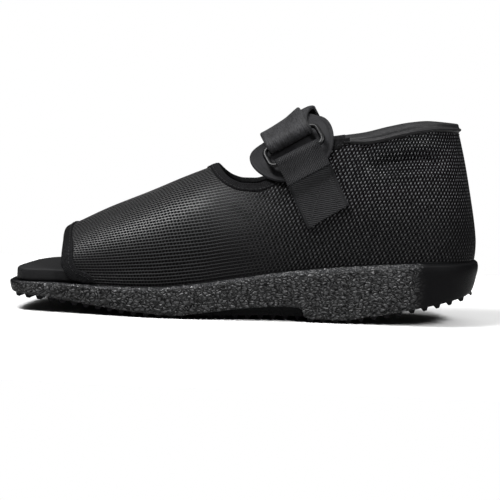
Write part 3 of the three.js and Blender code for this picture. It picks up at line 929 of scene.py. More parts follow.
@dataclass
class Last:
    """The form that the sole, footbed and upper are made round, in millimetres."""

    length: float = 293.4
    ball_width: float = 108.0
    fore_stack: float = 18.8
    heel_stack: float = 40.6
    toe_spring: float = 10.0
    heel_spring: float = 25.0
    arch_rise: float = 1.2
    toe_round: float = 30.0
    heel_round: float = 40.0
    rib_height: float = 2.2
    gap: float = 0.3
    feather_inset: float = 1.6
    fore_tuck: float = 2.4
    heel_tuck: float = 1.2
    tuck_height: float = 13.0
    instep_height: float = 126.0
    ankle_height: float = 190.0
    collar_height: float = 128.0
    heel_lean: float = 17.0
    lean_power: float = 1.45
    upper_wall: float = 2.4
    collar_padding: float = 3.0
    collar_pad_height: float = 27.0
    toe_opening: float = 34.0
    toe_sweep: float = 14.0
    toe_opening_height: float = 34.2
    section_power: float = 2.2
    toe_power: float = 3.4
    heel_power: float = 2.3
    plan: Column = Column(
        [(0, 0.85), (0.1, 0.89), (0.18, 0.945), (0.3, 1), (0.4, 0.965), (0.5, 0.88), (0.6, 0.8),
         (0.7, 0.77), (0.82, 0.768), (1, 0.76)]
    )
    rim_rise: Column = Column(
        [(0, -0.03), (0.1, 0), (0.2, -0.02), (0.3, 0.01), (0.4, 0.16), (0.46, 0.3), (0.58, 0.56),
         (0.68, 0.73), (0.81, 0.9), (0.92, 1), (1, 1)]
    )
    rocker_toe: Column = Column(
        [(0, 1), (0.1, 0.7), (0.17, 0.44), (0.24, 0.2), (0.3, 0.05), (0.33, 0), (1, 0)]
    )
    rocker_heel: Column = Column(
        [(0, 0), (0.7, 0), (0.76, 0.11), (0.81, 0.22), (0.86, 0.36), (0.92, 0.53), (0.97, 0.69), (1, 0.83)]
    )
    rocker_arch: Column = Column(
        [(0, 0), (0.43, 0), (0.5, 0.6), (0.57, 1), (0.625, 1), (0.645, 0), (1, 0)]
    )
    crown_share: Column = Column(
        [(0, 0.277), (0.07, 0.353), (0.133, 0.43), (0.277, 0.586), (0.39, 0.705), (0.43, 0.746),
         (0.5, 0.803), (0.567, 0.9), (0.606, 0.98), (0.627, 1), (1, 1)]
    )
    ankle_share: Column = Column([(0, 0), (0.627, 0), (0.69, 0.28), (0.74, 0.6), (0.8, 1), (1, 1)])
    topline_share: Column = Column(
        [(0.431, 0.735), (0.448, 0.694), (0.465, 0.67), (0.485, 0.659), (0.51, 0.66), (0.55, 0.698),
         (0.61, 0.8), (0.66, 0.88), (0.7, 0.899), (0.75, 0.92), (0.8, 0.953), (0.85, 0.98),
         (0.89, 0.991), (0.94, 0.987), (1.1, 0.97)]
    )
    toe_edge: Column = Column(
        [(-0.5, 1.1), (0, 1), (0.08, 0.45), (0.2, 0.2), (0.34, 0.03), (0.5, 0), (0.7, -0.04),
         (0.84, -0.14), (0.95, -0.25), (1.05, -0.2), (2, 0.2)]
    )

    def __post_init__(self) -> None:
        """Lays the outline out finely, with the far side's mirror image beyond both ends."""
        fine, more = 3000, 400
        quarter = np.linspace(0, np.pi / 2, fine // 2)
        start, end = self.toe_x + self.toe_round, self.heel_x - self.heel_round
        x = np.concatenate(
            [
                self.toe_x + self.toe_round * (1 - np.cos(quarter) ** (2 / self.toe_power)),
                np.linspace(start, end, fine // 2)[1:-1],
                end + self.heel_round * np.sin(quarter) ** (2 / self.heel_power),
            ]
        )
        y = self.half_width(x)
        run = run_along(np.column_stack([x, y]))
        even = np.linspace(0, run[-1], fine)
        x, y = np.interp(even, run, x), np.interp(even, run, y)
        y[0] = y[-1] = 0.0
        self.run = float(run[-1])
        x = np.concatenate([x[more:0:-1], x, x[-2 : -2 - more : -1]])
        y = np.concatenate([-y[more:0:-1], y, -y[-2 : -2 - more : -1]])
        step = even[1]
        self._s = (np.arange(len(x)) - more) * step
        dx, dy = np.gradient(x), np.gradient(y)
        size = np.hypot(dx, dy)
        out = np.stack([-dy / size, dx / size], -1)
        reach = 20
        soft = np.ones(2 * reach + 1) / (2 * reach + 1)
        out = np.stack([np.convolve(np.pad(o, reach, "edge"), soft, "valid") for o in out.T], -1)
        self._line = np.column_stack([x, y, unit(out)])
        own, full = slice(more, more + fine), Slant(length=self.length, ball_width=self.ball_width)
        front = float((x[own] + full.back(x[own], -y[own])).min())
        self.slant = replace(full, lost=front - self.toe_x)

    @property
    def toe_x(self) -> float:
        """The toe's end."""
        return -self.length / 2

    @property
    def heel_x(self) -> float:
        """The heel's end."""
        return self.length / 2

    def share(self, x: Value) -> Array:
        """Share of the length at x."""
        return (np.asarray(x, float) - self.toe_x) / self.length

    def rim(self, x: Value) -> Array:
        """Height of the sole's top edge."""
        return lerp(self.fore_stack, self.heel_stack, self.rim_rise(self.share(x)))

    def tread(self, x: Value) -> Array:
        """Height of the ribs' tips.

        Args:
            x: place along the shoe.

        Returns:
            The heights.
        """
        at = self.share(x)
        toe, heel, arch = self.rocker_toe(at), self.rocker_heel(at), self.rocker_arch(at)
        return toe * self.toe_spring + heel * self.heel_spring + arch * self.arch_rise

    def underside(self, x: Value) -> Array:
        """Height of the underside between the ribs."""
        return self.tread(x) + self.rib_height

    def crown(self, x: Value) -> Array:
        """Height of the last's crown."""
        at = self.share(x)
        return lerp(self.crown_share(at) * self.instep_height, self.ankle_height, self.ankle_share(at))

    def topline(self, x: Value) -> Array:
        """Height of the opening's edge."""
        return self.topline_share(self.share(x)) * self.collar_height

    def half_width(self, x: Value) -> Array:
        """Half the sole's width.

        Args:
            x: place along the shoe.

        Returns:
            The half widths.
        """
        x = np.asarray(x, float)
        toe = np.clip((self.toe_x + self.toe_round - x) / self.toe_round, 0, 1)
        heel = np.clip((x - self.heel_x + self.heel_round) / self.heel_round, 0, 1)
        toe_end = (1 - toe**self.toe_power) ** (1 / self.toe_power)
        heel_end = (1 - heel**self.heel_power) ** (1 / self.heel_power)
        return self.ball_width / 2 * self.plan(self.share(x)) * toe_end * heel_end

    def outline(self, s: Value) -> tuple[Array, Array, Array, Array]:
        """Point and outward direction at a run along the outline from the toe."""
        return tuple(np.interp(s, self._s, self._line[:, k]) for k in range(4))

    def inset_ring(self, s: Array, inset: Value) -> tuple[Array, Array]:
        """The outline moved inwards."""
        x, y, ox, oy = self.outline(s)
        return x - ox * inset, np.maximum(y - oy * inset, 0.0)

    def tuck(self, x: Value) -> Array:
        """How far the upper tucks in at the feather line."""
        return lerp(self.fore_tuck, self.heel_tuck, smooth(0.35, 0.8, self.share(x)))

    def pad(self, x: Value, z: Value) -> Array:
        """Thickness of the collar's padding.

        Args:
            x: place along the shoe.
            z: height.

        Returns:
            The thickness there.
        """
        drop = self.topline(x) - z
        height = 1 - smooth(self.collar_pad_height / 2, self.collar_pad_height, drop)
        return self.collar_padding * height * smooth(0.62, 0.72, self.share(x))

    def place(self, s: Value, turn: Value, grow: "Value | Callable" = 0.0) -> Array:
        """A point of the last on the ring's side.

        Args:
            s: run along the outline from the toe.
            turn: angle from the feather line, 0, to the crown, a quarter turn, and over it.
            grow: how far outside the form, or a function of x and z that says it.

        Returns:
            Points, x, y, z on the last axis.
        """
        s, turn = np.broadcast_arrays(np.asarray(s, float), np.asarray(turn, float))
        x0, y0, ox, oy = self.outline(s)
        low = self.rim(x0) + self.gap
        cosine, sine = np.cos(turn), np.abs(np.sin(turn))
        tall = sine ** (2 / self.section_power)
        wide = np.sign(cosine) * np.abs(cosine) ** (2 / self.section_power)
        crown = self.crown(x0)
        if callable(grow):
            grow = grow(x0, low + (crown - low) * tall)
        rise = (crown + grow - low) * tall
        tuck = self.tuck(x0) * np.maximum(0, 1 - rise / self.tuck_height) ** 2
        inset = self.feather_inset + tuck - grow
        lean = (np.maximum(rise, 0) / (self.collar_height - low)) ** self.lean_power
        lean = self.heel_lean * lean * smooth(0.68, 0.98, self.share(x0))
        return np.stack([x0 - ox * inset - lean, -(y0 - oy * inset) * wide, low + rise], -1)

    def inside(self, x: Array, z: Array) -> Array:
        """How far in the wall's inner face lies, as a growth."""
        return -self.upper_wall - self.pad(x, z)

    def topline_drop(self, drop: float) -> tuple[Array, Array]:
        """The opening's edge seen from the side, lowered square to itself.

        Args:
            drop: how far it is lowered.

        Returns:
            The line's x and z.
        """
        start, end = self.toe_x + 0.431 * self.length, self.toe_x + 1.1 * self.length
        x = start + (end - start) * np.linspace(0, 1, 900) ** 1.3
        slope = self.topline(x + 0.5) - self.topline(x - 0.5)
        size = np.hypot(slope, 1)
        moved = np.stack([x + drop * slope / size, self.topline(x) - drop / size], -1)
        first = np.array([[start - drop, float(self.topline(start))]])
        keep = np.maximum.accumulate(moved[:, 0])
        moved = moved[(moved[:, 0] >= keep) & (moved[:, 0] > start - drop + 0.05)]
        line = np.vstack([first, moved])
        return line[:, 0], line[:, 1]

    def top_turn(self, s: Array, drop: float) -> Array:
        """The turn at which the opening's edge crosses each section.

        Args:
            s: run along the outline from the toe.
            drop: how far the edge is lowered.

        Returns:
            The turns, a quarter where it doesn't cross.
        """
        line_x, line_z = self.topline_drop(drop)

        def under(turn: Array) -> Array:
            """True where the section is still below the edge.

            Args:
                turn: the turn tried.

            Returns:
                True or false for each section.
            """
            point = self.place(s, turn)
            edge = np.where(point[..., 0] < line_x[0], 1e3, np.interp(point[..., 0], line_x, line_z))
            return point[..., 2] <= edge

        return halve(np.zeros_like(s), np.full_like(s, np.pi / 2), under)[1]

    def toe_run(self, turn: Array, back: float) -> Array:
        """The run at which the toe opening's edge crosses each turn.

        Args:
            turn: the turns.
            back: how far the edge is set back.

        Returns:
            The runs.
        """

        def before(s: Array) -> Array:
            """True where the run is still in front of the edge.

            Args:
                s: the run tried.

            Returns:
                True or false for each turn.
            """
            point = self.place(s, turn)
            rise = (point[..., 2] - self.fore_stack) / self.toe_opening_height
            edge = self.toe_x + self.toe_opening + back + self.toe_sweep * self.toe_edge(rise)
            return point[..., 0] < edge

        return halve(np.full_like(turn, 30.0), np.full_like(turn, 150.0), before)[1]


@dataclass
class Rings:
    """Rings of points round the near half of the sole's outline, each with its lay."""

    last: Last
    s: Array
    rows: list[Array] = field(default_factory=list)
    lay: list[Array] = field(default_factory=list)

    def add(
        self, inset: Value, height: Callable[[Array], Array], across: Value, mask: Value = 0.0
    ) -> None:
        """Adds a ring.

        Args:
            inset: how far inside the outline it runs.
            height: its height, as a function of x.
            across: its place on the cloth.
            mask: its mask.
        """
        x, y = self.last.inset_ring(self.s, inset)
        none = np.zeros_like(self.s)
        self.rows.append(np.stack([x, -y, height(x)], -1))
        self.lay.append(np.stack([self.s, none + across, none + mask], -1))

    def close(self, patch: Patch) -> None:
        """Draws the last ring in to the shoe's middle and adds both sides to a patch.

        Args:
            patch: the piece's patch.
        """
        self.rows.append(self.rows[-1] * MIDDLE)
        self.lay.append(self.lay[-1])
        patch.mirrored(np.stack(self.rows, 1), np.stack(self.lay, 1))


# Sole and footbed


@dataclass
class Sole:
    """The rocker sole: pebbled side, waist relief and cross ribs."""

    last: Last
    side_draft: float = 3.6
    core_inset: float = 8.0
    relief_rise: float = 6.0
    rib_base: float = 4.6
    rib_tip: float = 2.0
    rib_pitch: float = 7.8
    toe_rib_pitch: float = 6.2
    toe_ease: float = 0.6
    relief_start: float = 0.37
    relief_end: float = 0.63
    smooth_heel: tuple[float, float] = (99.0, 112.0)
    blunt_toe: tuple[float, float] = (4.0, 26.0)
    smooth_toe: tuple[float, float] = (3.0, 15.0)
    columns: int = 520
    side: Column = Column([(0, 1), (0.08, 0.72), (0.45, 0.25), (0.76, 0), (0.92, 0.14), (1, 0.72)])
    relief: Column = Column(
        [(0.375, 0), (0.395, 0.18), (0.43, 0.44), (0.47, 0.68), (0.53, 0.9), (0.59, 1), (0.612, 0.93),
         (0.622, 0.7), (0.626, 0)]
    )

    def ribs(self) -> list[float]:
        """Places of the ribs from heel to toe.

        Returns:
            The ribs' x, from heel to toe.
        """
        last, places = self.last, []
        x = last.toe_x + 0.985 * last.length
        while last.share(x) > 0.02:
            places.append(x)
            x -= float(lerp(self.toe_rib_pitch, self.rib_pitch, smooth(0, 0.38, last.share(x))))
        return places

    def relieved(self, x: Array) -> Array:
        """1 where the waist is relieved.

        Args:
            x: place along the shoe.

        Returns:
            1 in the relief, 0 outside it.
        """
        at = self.last.share(x)
        start = smooth(self.relief_start, self.relief_start + 0.007, at)
        return start * (1 - smooth(self.relief_end - 0.005, self.relief_end, at))

    def wall_height(self, x: Array, cut: Array, level: float) -> Array:
        """Height of the side wall at a share of the way from its foot to the rim."""
        return lerp(self.last.underside(x) + cut, self.last.rim(x), level)

    def build(self) -> bpy.types.Object:
        """Makes the sole.

        Returns:
            The piece's object.
        """
        last, patch = self.last, Patch()
        rings = Rings(last, np.linspace(0, last.run, self.columns))
        x0 = last.outline(rings.s)[0]
        base, rim, core = last.underside(x0), last.rim(x0), self.relieved(x0)
        cut = self.relief_rise * self.relief(last.share(x0))
        blunt = 1 - smooth(*self.blunt_toe, x0 - last.toe_x)
        draft = self.side_draft * (1 - self.toe_ease * blunt)
        deep = lerp(draft, self.core_inset, core)
        heel_zone = smooth(*self.smooth_heel, x0)
        toe_zone = 0.8 * (1 - smooth(*self.smooth_toe, x0 - last.toe_x))
        plain = np.maximum(core, heel_zone)
        for inset, rise in ((deep, 0.0), (deep, 0.92 * cut), (deep - 0.4 * core, cut)):
            rings.add(inset, lambda x, up=rise: last.underside(x) + up, 0.0, plain)
        levels = [np.linspace(0, 0.1, 6), np.linspace(0.16, 0.8, 11), np.linspace(0.84, 1.0, 10)]
        for level in np.concatenate(levels):
            z = lerp(base + cut, rim, level)
            under = hump(level, 0.012) * core
            inset = self.side((z - base) / (rim - base)) * draft + under * 1.2
            plain = np.maximum(np.maximum(heel_zone, toe_zone), under * core)
            height = partial(self.wall_height, cut=cut, level=level)
            rings.add(inset, height, level, plain)
        for inset in (self.side_draft * 0.72 + 1.2, self.side_draft + 6, 24.0):
            rings.add(inset, last.rim, 0.5, 1.0)
        lowest = rings.rows[0]
        rings.close(patch)
        self.add_underside(patch, lowest)
        return make_piece("sole_unit", patch, last.slant)

    def dress(self) -> list[bpy.types.Object]:
        """Makes the sole in pebbled foam."""
        return [settle(self.build(), "outsole", PebbledFoam(), "outsole")]

    def add_underside(self, patch: Patch, ring: Array) -> None:
        """Adds the underside with its ribs.

        Args:
            patch: the sole's patch.
            ring: the lowest ring of the near side wall.
        """
        last = self.last
        order = np.argsort(ring[:, 0])
        ends = ring[order[0], 0], ring[order[-1], 0]
        x = np.linspace(ends[0] + 0.02, ends[1] - 0.02, 860)
        edge = np.interp(x, ring[order, 0], -ring[order, 1])
        depth = np.zeros_like(x)
        for place in self.ribs():
            off = np.abs(x - place)
            flank = (self.rib_base / 2 - off) / ((self.rib_base - self.rib_tip) / 2)
            depth = np.maximum(depth, smooth(-0.08, 1.12, flank) * last.rib_height)
        slope = last.underside(x + 0.5) - last.underside(x - 0.5)
        size = np.hypot(slope, 1)
        base = last.underside(x)
        across = [(0.0, 0.0), (0.45, 0.0), (0.62, 0.8), (1.1, 1.0), (4.0, 1.0)]
        columns = [(-(edge - d), m) for d, m in across]
        columns += [(edge * f, 1.0) for f in (-0.6, -0.3, 0.0, 0.3, 0.6)]
        columns += [(edge - d, m) for d, m in reversed(across)]
        rows = []
        for y, share in columns:
            fall, limit = depth * share, np.clip(y, -edge, edge)
            rows.append(np.stack([x + fall * slope / size, limit, base - fall / size], -1))
        points = np.stack(rows, 1)
        lay = np.ones_like(points)
        lay[..., 0], lay[..., 1] = x[:, None], 0.0
        index = patch.sheet(points, lay)
        patch.cap(index[0], index[-1][::-1])


@dataclass
class Footbed:
    """The thick footbed, whose front shows in the open toe."""

    last: Last
    thickness: float = 7.5
    toe_inset: float = 4.0
    edge_round: float = 1.3
    binding_proud: float = 0.6

    def inset(self, x: Array) -> Array:
        """How far it stays in from the sole's edge.

        Args:
            x: place along the shoe.

        Returns:
            The inset.
        """
        last = self.last
        clear = last.feather_inset + last.tuck(x) + last.upper_wall + self.binding_proud + last.gap
        return lerp(self.toe_inset, clear, smooth(0.02, 0.11, last.share(x)))

    def build(self) -> bpy.types.Object:
        """Makes the footbed.

        Returns:
            The piece's object.
        """
        last, patch = self.last, Patch()
        rings = Rings(last, np.linspace(0, last.run, 420))
        inset = self.inset(last.outline(rings.s)[0])
        low, top = last.gap, last.gap + self.thickness
        profile = [(0.5, low - 0.1), (0.0, low + 0.5), (0.0, low + 2.0), (0.0, low + 4.0)]
        for turn in np.linspace(0, np.pi / 2, 7):
            more, down = self.edge_round * (1 - np.cos(turn)), self.edge_round * (1 - np.sin(turn))
            profile.append((more, top - down))
        profile += [(4.0, top), (12.0, top - 0.1), (26.0, top - 0.2)]
        for more, height in profile:
            rings.add(inset + more, lambda x, up=height: last.rim(x) + up, height)
        rings.close(patch)
        return make_piece("footbed", patch, last.slant)

    def dress(self) -> list[bpy.types.Object]:
        """Makes the footbed in matte foam."""
        return [settle(self.build(), "insole", FootbedFoam(), "insole")]


# Upper


@dataclass
class Fold:
    """A soft trough or ridge across the upper, along a line seen from the side."""

    start: tuple[float, float]
    end: tuple[float, float]
    width: float
    depth: float
    bow: float = 0.0

    def __call__(self, x: Array, z: Array) -> Array:
        """How far the fold moves the wall at a place.

        Args:
            x: place along the shoe.
            z: height.

        Returns:
            The move outwards.
        """
        run = np.array(self.end) - np.array(self.start)
        size = float(np.hypot(*run))
        along = ((x - self.start[0]) * run[0] + (z - self.start[1]) * run[1]) / size**2
        off = ((z - self.start[1]) * run[0] - (x - self.start[0]) * run[1]) / size
        off = off - self.bow * 4 * along * (1 - along)
        fade = smooth(-0.12, 0.3, along) * (1 - smooth(0.7, 1.12, along))
        return self.depth * fade * hump(off, self.width)


@dataclass
class Upper:
    """The mesh upper, open at the toe, the throat and the collar, with its creases."""

    last: Last
    columns: int = 300
    rows: int = 70
    drop: float = 4.0
    pitch_fore: float = 1.85
    pitch_heel: float = 2.6
    row_pitch: float = 2.1
    throat_share: float = 0.46
    loops: tuple[float, float] = (135.0, 225.0)
    folds: tuple[Fold, ...] = (
        Fold((74, 98), (130, 104), 5.0, -4.6, 0.8),
        Fold((78, 91), (134, 96.5), 2.8, 1.2, 0.8),
        Fold((86, 108), (128, 112), 3.0, 0.8, 0.5),
        Fold((70, 108), (84, 92), 2.6, -0.9),
        Fold((62, 104), (76, 112), 2.4, -0.8),
        Fold((66, 100), (80, 86), 2.6, 0.5),
        Fold((104, 72), (128, 60), 6.0, -0.5),
        Fold((-60, 30), (30, 38), 5.0, -0.5),
        Fold((-20, 52), (40, 66), 7.0, 0.5),
        Fold((2, 78), (24, 70), 3.5, -0.6),
        Fold((-12, 74), (2, 66), 3.0, 0.45),
    )

    def soften(self, x: Array, z: Array) -> Array:
        """How far the cloth stands off the form: creases, slack and small waves.

        Args:
            x: place along the shoe.
            z: height.

        Returns:
            The move outwards.
        """
        total = sum(fold(x, z) for fold in self.folds)
        waves = 0.16 * np.sin(x * 0.11 + z * 0.07) + 0.12 * np.sin(x * 0.053 - z * 0.13 + 1.0)
        return total + waves * smooth(3, 14, z - self.last.rim(x))

    def grid(self, columns: int, rows: int, drop: float) -> tuple[Array, Array]:
        """Runs and turns of a grid over the near half of the upper.

        Args:
            columns: number of columns, toe to heel.
            rows: number of rows, feather line to top.
            drop: how far its edges stay inside the openings.

        Returns:
            The runs and the turns, columns by rows.
        """
        last = self.last
        v = np.linspace(0, 1, rows)
        w = np.linspace(0, 1, columns)
        start = last.toe_run(np.pi / 2 * v**0.9, drop)
        s = start[None, :] + (last.run - start[None, :]) * w[:, None]
        turn = last.top_turn(s.ravel(), drop).reshape(s.shape) * v[None, :] ** 0.9
        return s, turn

    def cloth(self, s: Array, turn: Array) -> Array:
        """The mesh's own coordinates, counted in cells along and across.

        Args:
            s: run along the outline from the toe.
            turn: the turn at each run.

        Returns:
            Places along and across, and the mask of the rear loops.
        """
        last = self.last
        fine = np.linspace(0, 1, 240)
        girth_turn = np.pi / 2 * fine
        runs = np.linspace(0, last.run, 500)
        section = last.place(runs[:, None], girth_turn[None, :])
        step = np.linalg.norm(np.diff(section, axis=1), axis=-1)
        girth = np.concatenate([np.zeros((len(runs), 1)), np.cumsum(step, 1)], 1)
        column = np.interp(s.ravel(), runs, np.arange(len(runs)))
        row = np.clip(turn.ravel() / (np.pi / 2), 0, 1) * (len(fine) - 1)
        i, j = np.minimum(column.astype(int), len(runs) - 2), np.minimum(row.astype(int), len(fine) - 2)
        a, b = column - i, row - j
        first = girth[i, j] * (1 - a) + girth[i + 1, j] * a
        second = girth[i, j + 1] * (1 - a) + girth[i + 1, j + 1] * a
        reach = first * (1 - b) + second * b
        whole = np.interp(s.ravel(), runs, girth[:, -1])
        throat = float(np.interp(last.length * self.throat_share, runs, girth[:, -1]))
        full = np.where(s.ravel() < last.length * self.throat_share, whole, throat)
        across = reach / full * throat / self.row_pitch
        pitch = lerp(self.pitch_fore, self.pitch_heel, smooth(90, 230, runs))
        cells = np.concatenate([[0], np.cumsum(np.diff(runs) / pitch[1:])])
        along = np.interp(s.ravel(), runs, cells)
        return np.stack([along, across, smooth(*self.loops, s.ravel())], -1).reshape(*s.shape, 3)

    def build(self) -> bpy.types.Object:
        """Makes the upper with its inner face.

        Returns:
            The piece's object.
        """
        last, patch = self.last, Patch()
        faces = ((self.columns, self.rows, self.soften), (self.columns // 2, 36, last.inside))
        for columns, rows, grow in faces:
            s, turn = self.grid(columns, rows, self.drop)
            points = last.place(s, turn, grow)
            points[-1, :, 1] = 0.0
            patch.mirrored(points, self.cloth(s, turn))
        return make_piece("mesh_upper", patch, last.slant, weld=0.02)

    def dress(self) -> list[bpy.types.Object]:
        """Makes the upper in spacer mesh."""
        return [settle(self.build(), "upper", SpacerMesh(), "upper")]


@dataclass
class EdgeLine:
    """One side's edge of an opening on the last, with frames that match across the shoe's middle."""

    last: Last
    s: Array
    turn: Array

    def __post_init__(self) -> None:
        """Works out points, tangents, and the surface's own directions."""
        last = self.last
        self.point = last.place(self.s, self.turn)
        full = np.vstack([self.point[1:2] * MIRROR, self.point, self.point[-2:-1] * MIRROR])
        self.tangent = unit(full[2:] - full[:-2])
        ds, dt = 0.6, 0.015
        self.by_s = (last.place(self.s + ds, self.turn) - last.place(self.s - ds, self.turn)) / (2 * ds)
        lower = np.maximum(self.turn - dt, 0.0)
        step = (self.turn + dt - lower)[:, None]
        self.by_turn = (last.place(self.s, self.turn + dt) - last.place(self.s, lower)) / step
        normal = unit(np.cross(self.by_s, self.by_turn))
        out = last.place(self.s, self.turn, 1.0) - self.point
        self.normal = normal * np.sign(np.sum(normal * out, -1, keepdims=True))
        down = unit(np.cross(self.tangent, self.normal))
        middle = len(down) // 2
        self.down = down if self.away(down[middle], middle) else -down

    def away(self, down: Array, i: int) -> bool:
        """True where a direction leads away from the opening."""
        return bool(down[2] < 0) if self.point[i, 0] > -60 else bool(down[0] > 0)

    @property
    def length(self) -> Array:
        """Run along the edge at each point."""
        return run_along(self.point)

    def at(self, distance: Value, grow: "Value | Callable") -> Array:
        """Points beside the edge.

        Args:
            distance: how far down from it along the surface.
            grow: how far outside the last.

        Returns:
            The points.
        """
        d = np.broadcast_to(np.asarray(distance, float), self.s.shape)
        aim = self.down * d[:, None]
        a, b = self.by_s, self.by_turn
        aa, ab, bb = np.sum(a * a, -1), np.sum(a * b, -1), np.sum(b * b, -1)
        pa, pb = np.sum(aim * a, -1), np.sum(aim * b, -1)
        det = aa * bb - ab * ab
        ds, dt = (pa * bb - pb * ab) / det, (pb * aa - pa * ab) / det
        reach = np.linalg.norm(self.last.place(self.s + ds, self.turn + dt) - self.point, axis=-1)
        scale = np.where(np.abs(d) > 1e-6, np.abs(d) / np.maximum(reach, 1e-6), 1.0)
        return self.last.place(self.s + ds * scale, self.turn + dt * scale, grow)

    def part(self, keep: Array) -> "EdgeLine":
        """The same line with some of its points, its frames kept.

        Args:
            keep: True for the points kept.

        Returns:
            The shorter line.
        """
        other = copy(self)
        for name, value in vars(self).items():
            if isinstance(value, Array):
                setattr(other, name, value[keep])
        return other


def even_line(last: Last, s: Array, turn: Array, spacing: float) -> EdgeLine:
    """An edge line with its points spread evenly along it.

    Args:
        last: the last.
        s: run along the outline from the toe.
        turn: the turn at each run.
        spacing: how far apart the points are.

    Returns:
        The line.
    """
    run = run_along(last.place(s, turn))
    even = np.linspace(0, run[-1], int(run[-1] / spacing) + 2)
    return EdgeLine(last, np.interp(even, run, s), np.interp(even, run, turn))


class Side(Enum):
    """Which side of the shoe a half belongs to."""

    NEAR = 1.0
    FAR = -1.0

    def turn(self, points: Array) -> Array:
        """Points of the near side, on this side."""
        return points * (1.0, self.value, 1.0)


@dataclass
class Bindings:
    """The knit tape round the toe and the throat, and the padded roll round the collar."""

    last: Last
    width: float = 6.0
    proud: float = 0.75
    roll_bulge: float = 1.1
    collar_split: float = 0.705
    seam_overlap: float = 4.0
    seam_narrow: float = 3.5
    roll_start: float = 4.2
    roll_dark: float = 34.0
    roll_radius: float = 2.7
    tape_radius: float = 1.5
    throat_swell: tuple[float, float] = (38.0, 56.0)
    toe_extra: float = 1.2
    spacing: float = 1.3

    def opening_line(self) -> EdgeLine:
        """The edge of the foot's opening from the throat's front to the heel.

        Returns:
            The near side of the edge.
        """
        last = self.last

        def whole(s: Array) -> Array:
            """True where the section still closes over the crown."""
            return last.top_turn(np.array([s]), 0.0)[0] >= np.pi / 2 - 1e-4

        start = halve(last.length * 0.35, last.length * 0.55, whole, 40)[1]
        s = start + (last.run - start) * np.linspace(0, 1, 5000) ** 2
        turn = last.top_turn(s, 0.0)
        turn[0] = np.pi / 2
        return even_line(last, s, turn, self.spacing)

    def toe_line(self) -> EdgeLine:
        """The edge of the toe opening from the feather line to the crown."""
        turn = np.linspace(0.0, np.pi / 2, 1500)
        return even_line(self.last, self.last.toe_run(turn, 0.0), turn, 1.0)

    def profile(self, width: Array, bulge: float, radius: float) -> list[tuple[Array, float, float]]:
        """The tape's section: distance down, share of the way to the inner face, and how far proud.

        Args:
            width: how far the tape reaches down, at each point.
            bulge: how far the middle of its outer face swells.
            radius: of its turn over the edge.

        Returns:
            Rows of distance, share and proudness, outer lip to inner lip.
        """
        rows = [(width, 0.0, -0.5), (width, 0.0, 0.25), (width - 0.12, 0.0, 0.5 + 0.1 * bulge)]
        for f in (0.9, 0.78, 0.64, 0.5, 0.36):
            swell = bulge * np.sin(np.pi * min(1.0, (1 - f) * 1.35 + 0.1)) ** 0.8
            rows.append((lerp(radius, width, f), 0.0, self.proud + swell))
        for angle in np.linspace(0, np.pi, 13):
            share = (1 - np.cos(angle)) / 2
            rows.append((radius * (1 - np.sin(angle)) + 0 * width, share, self.proud))
        rows += [(lerp(radius, width, f), 1.0, self.proud) for f in (0.4, 0.8)]
        rows += [(width - 0.1, 1.0, self.proud * 0.9), (width, 1.0, 0.0), (width, 1.0, -0.5)]
        return rows

    def tape(
        self, line: EdgeLine, width: Array, bulge: float, radius: float, shade: Value = 0.0
    ) -> tuple[Array, Array]:
        """One side's half of a tape.

        Args:
            line: the edge that it covers.
            width: how far it reaches down.
            bulge: how far its face swells.
            radius: of its turn over the edge.
            shade: how dark its cloth is.

        Returns:
            Its points and their lay.
        """
        rows, lay, across = [], [], 0.0
        for distance, share, proud in self.profile(width, bulge, radius):

            def grow(x: Array, z: Array, share: float = share, proud: float = proud) -> Array:
                """Growth between the outer and the inner face, proud of both."""
                side = np.cos(np.pi * share) if 0 < share < 1 else 1 - 2 * share
                half = -self.last.inside(x, z) / 2
                return -half + (half + proud) * side

            rows.append(line.at(distance, grow))
            if len(rows) > 1:
                across += float(np.linalg.norm(rows[-1] - rows[-2], axis=-1).mean())
            none = np.zeros(len(rows[-1]))
            lay.append(np.stack([line.length, none + across, none + shade], -1))
        return np.stack(rows, 1), np.stack(lay, 1)

    def closed(self, name: str, points: Array, lay: Array, middle: int) -> bpy.types.Object:
        """A tape of both sides' halves, its section closed and its far end capped.

        Args:
            name: the piece's name.
            points: one side's half.
            lay: its lay.
            middle: its row at the shoe's middle, the first, 0, or the last, -1.

        Returns:
            The tape's object.
        """
        patch = Patch()
        points[middle, :, 1] = 0.0
        for side in Side:
            index = patch.add(side.turn(points), lay)
            patch.grid(index, wrap_columns=True)
            patch.cap(index[-1 - middle])
        return make_piece(name, patch, self.last.slant, weld=0.02)

    def build(self) -> dict[str, bpy.types.Object]:
        """Makes the three bindings.

        Returns:
            Their objects by name.
        """
        last, line, toe = self.last, self.opening_line(), self.toe_line()
        seam = last.toe_x + self.collar_split * last.length
        front = line.part(line.point[:, 0] < seam)
        back = line.part(line.point[:, 0] >= seam - self.seam_overlap)
        front_x, past = front.point[:, 0], back.point[:, 0] - seam
        narrow = self.seam_narrow * smooth(seam - 9, seam - 1, front_x)
        dark = smooth(0.62, 0.9, toe.turn)
        front_width = self.width + 2.0 * smooth(*self.throat_swell, front_x) - narrow
        back_width = lerp(self.roll_start, self.width, smooth(-self.seam_overlap, 12, past))
        back_shade = 1 - smooth(0, self.roll_dark, past)
        toe_width = self.width + self.toe_extra * (1 - dark)
        plan = {
            "throat_tape": (0, front, front_width, 0.25, self.tape_radius, 0.25),
            "collar_roll_cover": (-1, back, back_width, self.roll_bulge, self.roll_radius, back_shade),
            "toe_tape": (-1, toe, toe_width, 0.2, self.tape_radius, dark),
        }
        self.lines = {"throat": front, "collar": back, "toe": toe}
        made = {}
        for name, (middle, *tape) in plan.items():
            made[name] = self.closed(name, *self.tape(*tape), middle)
        return made

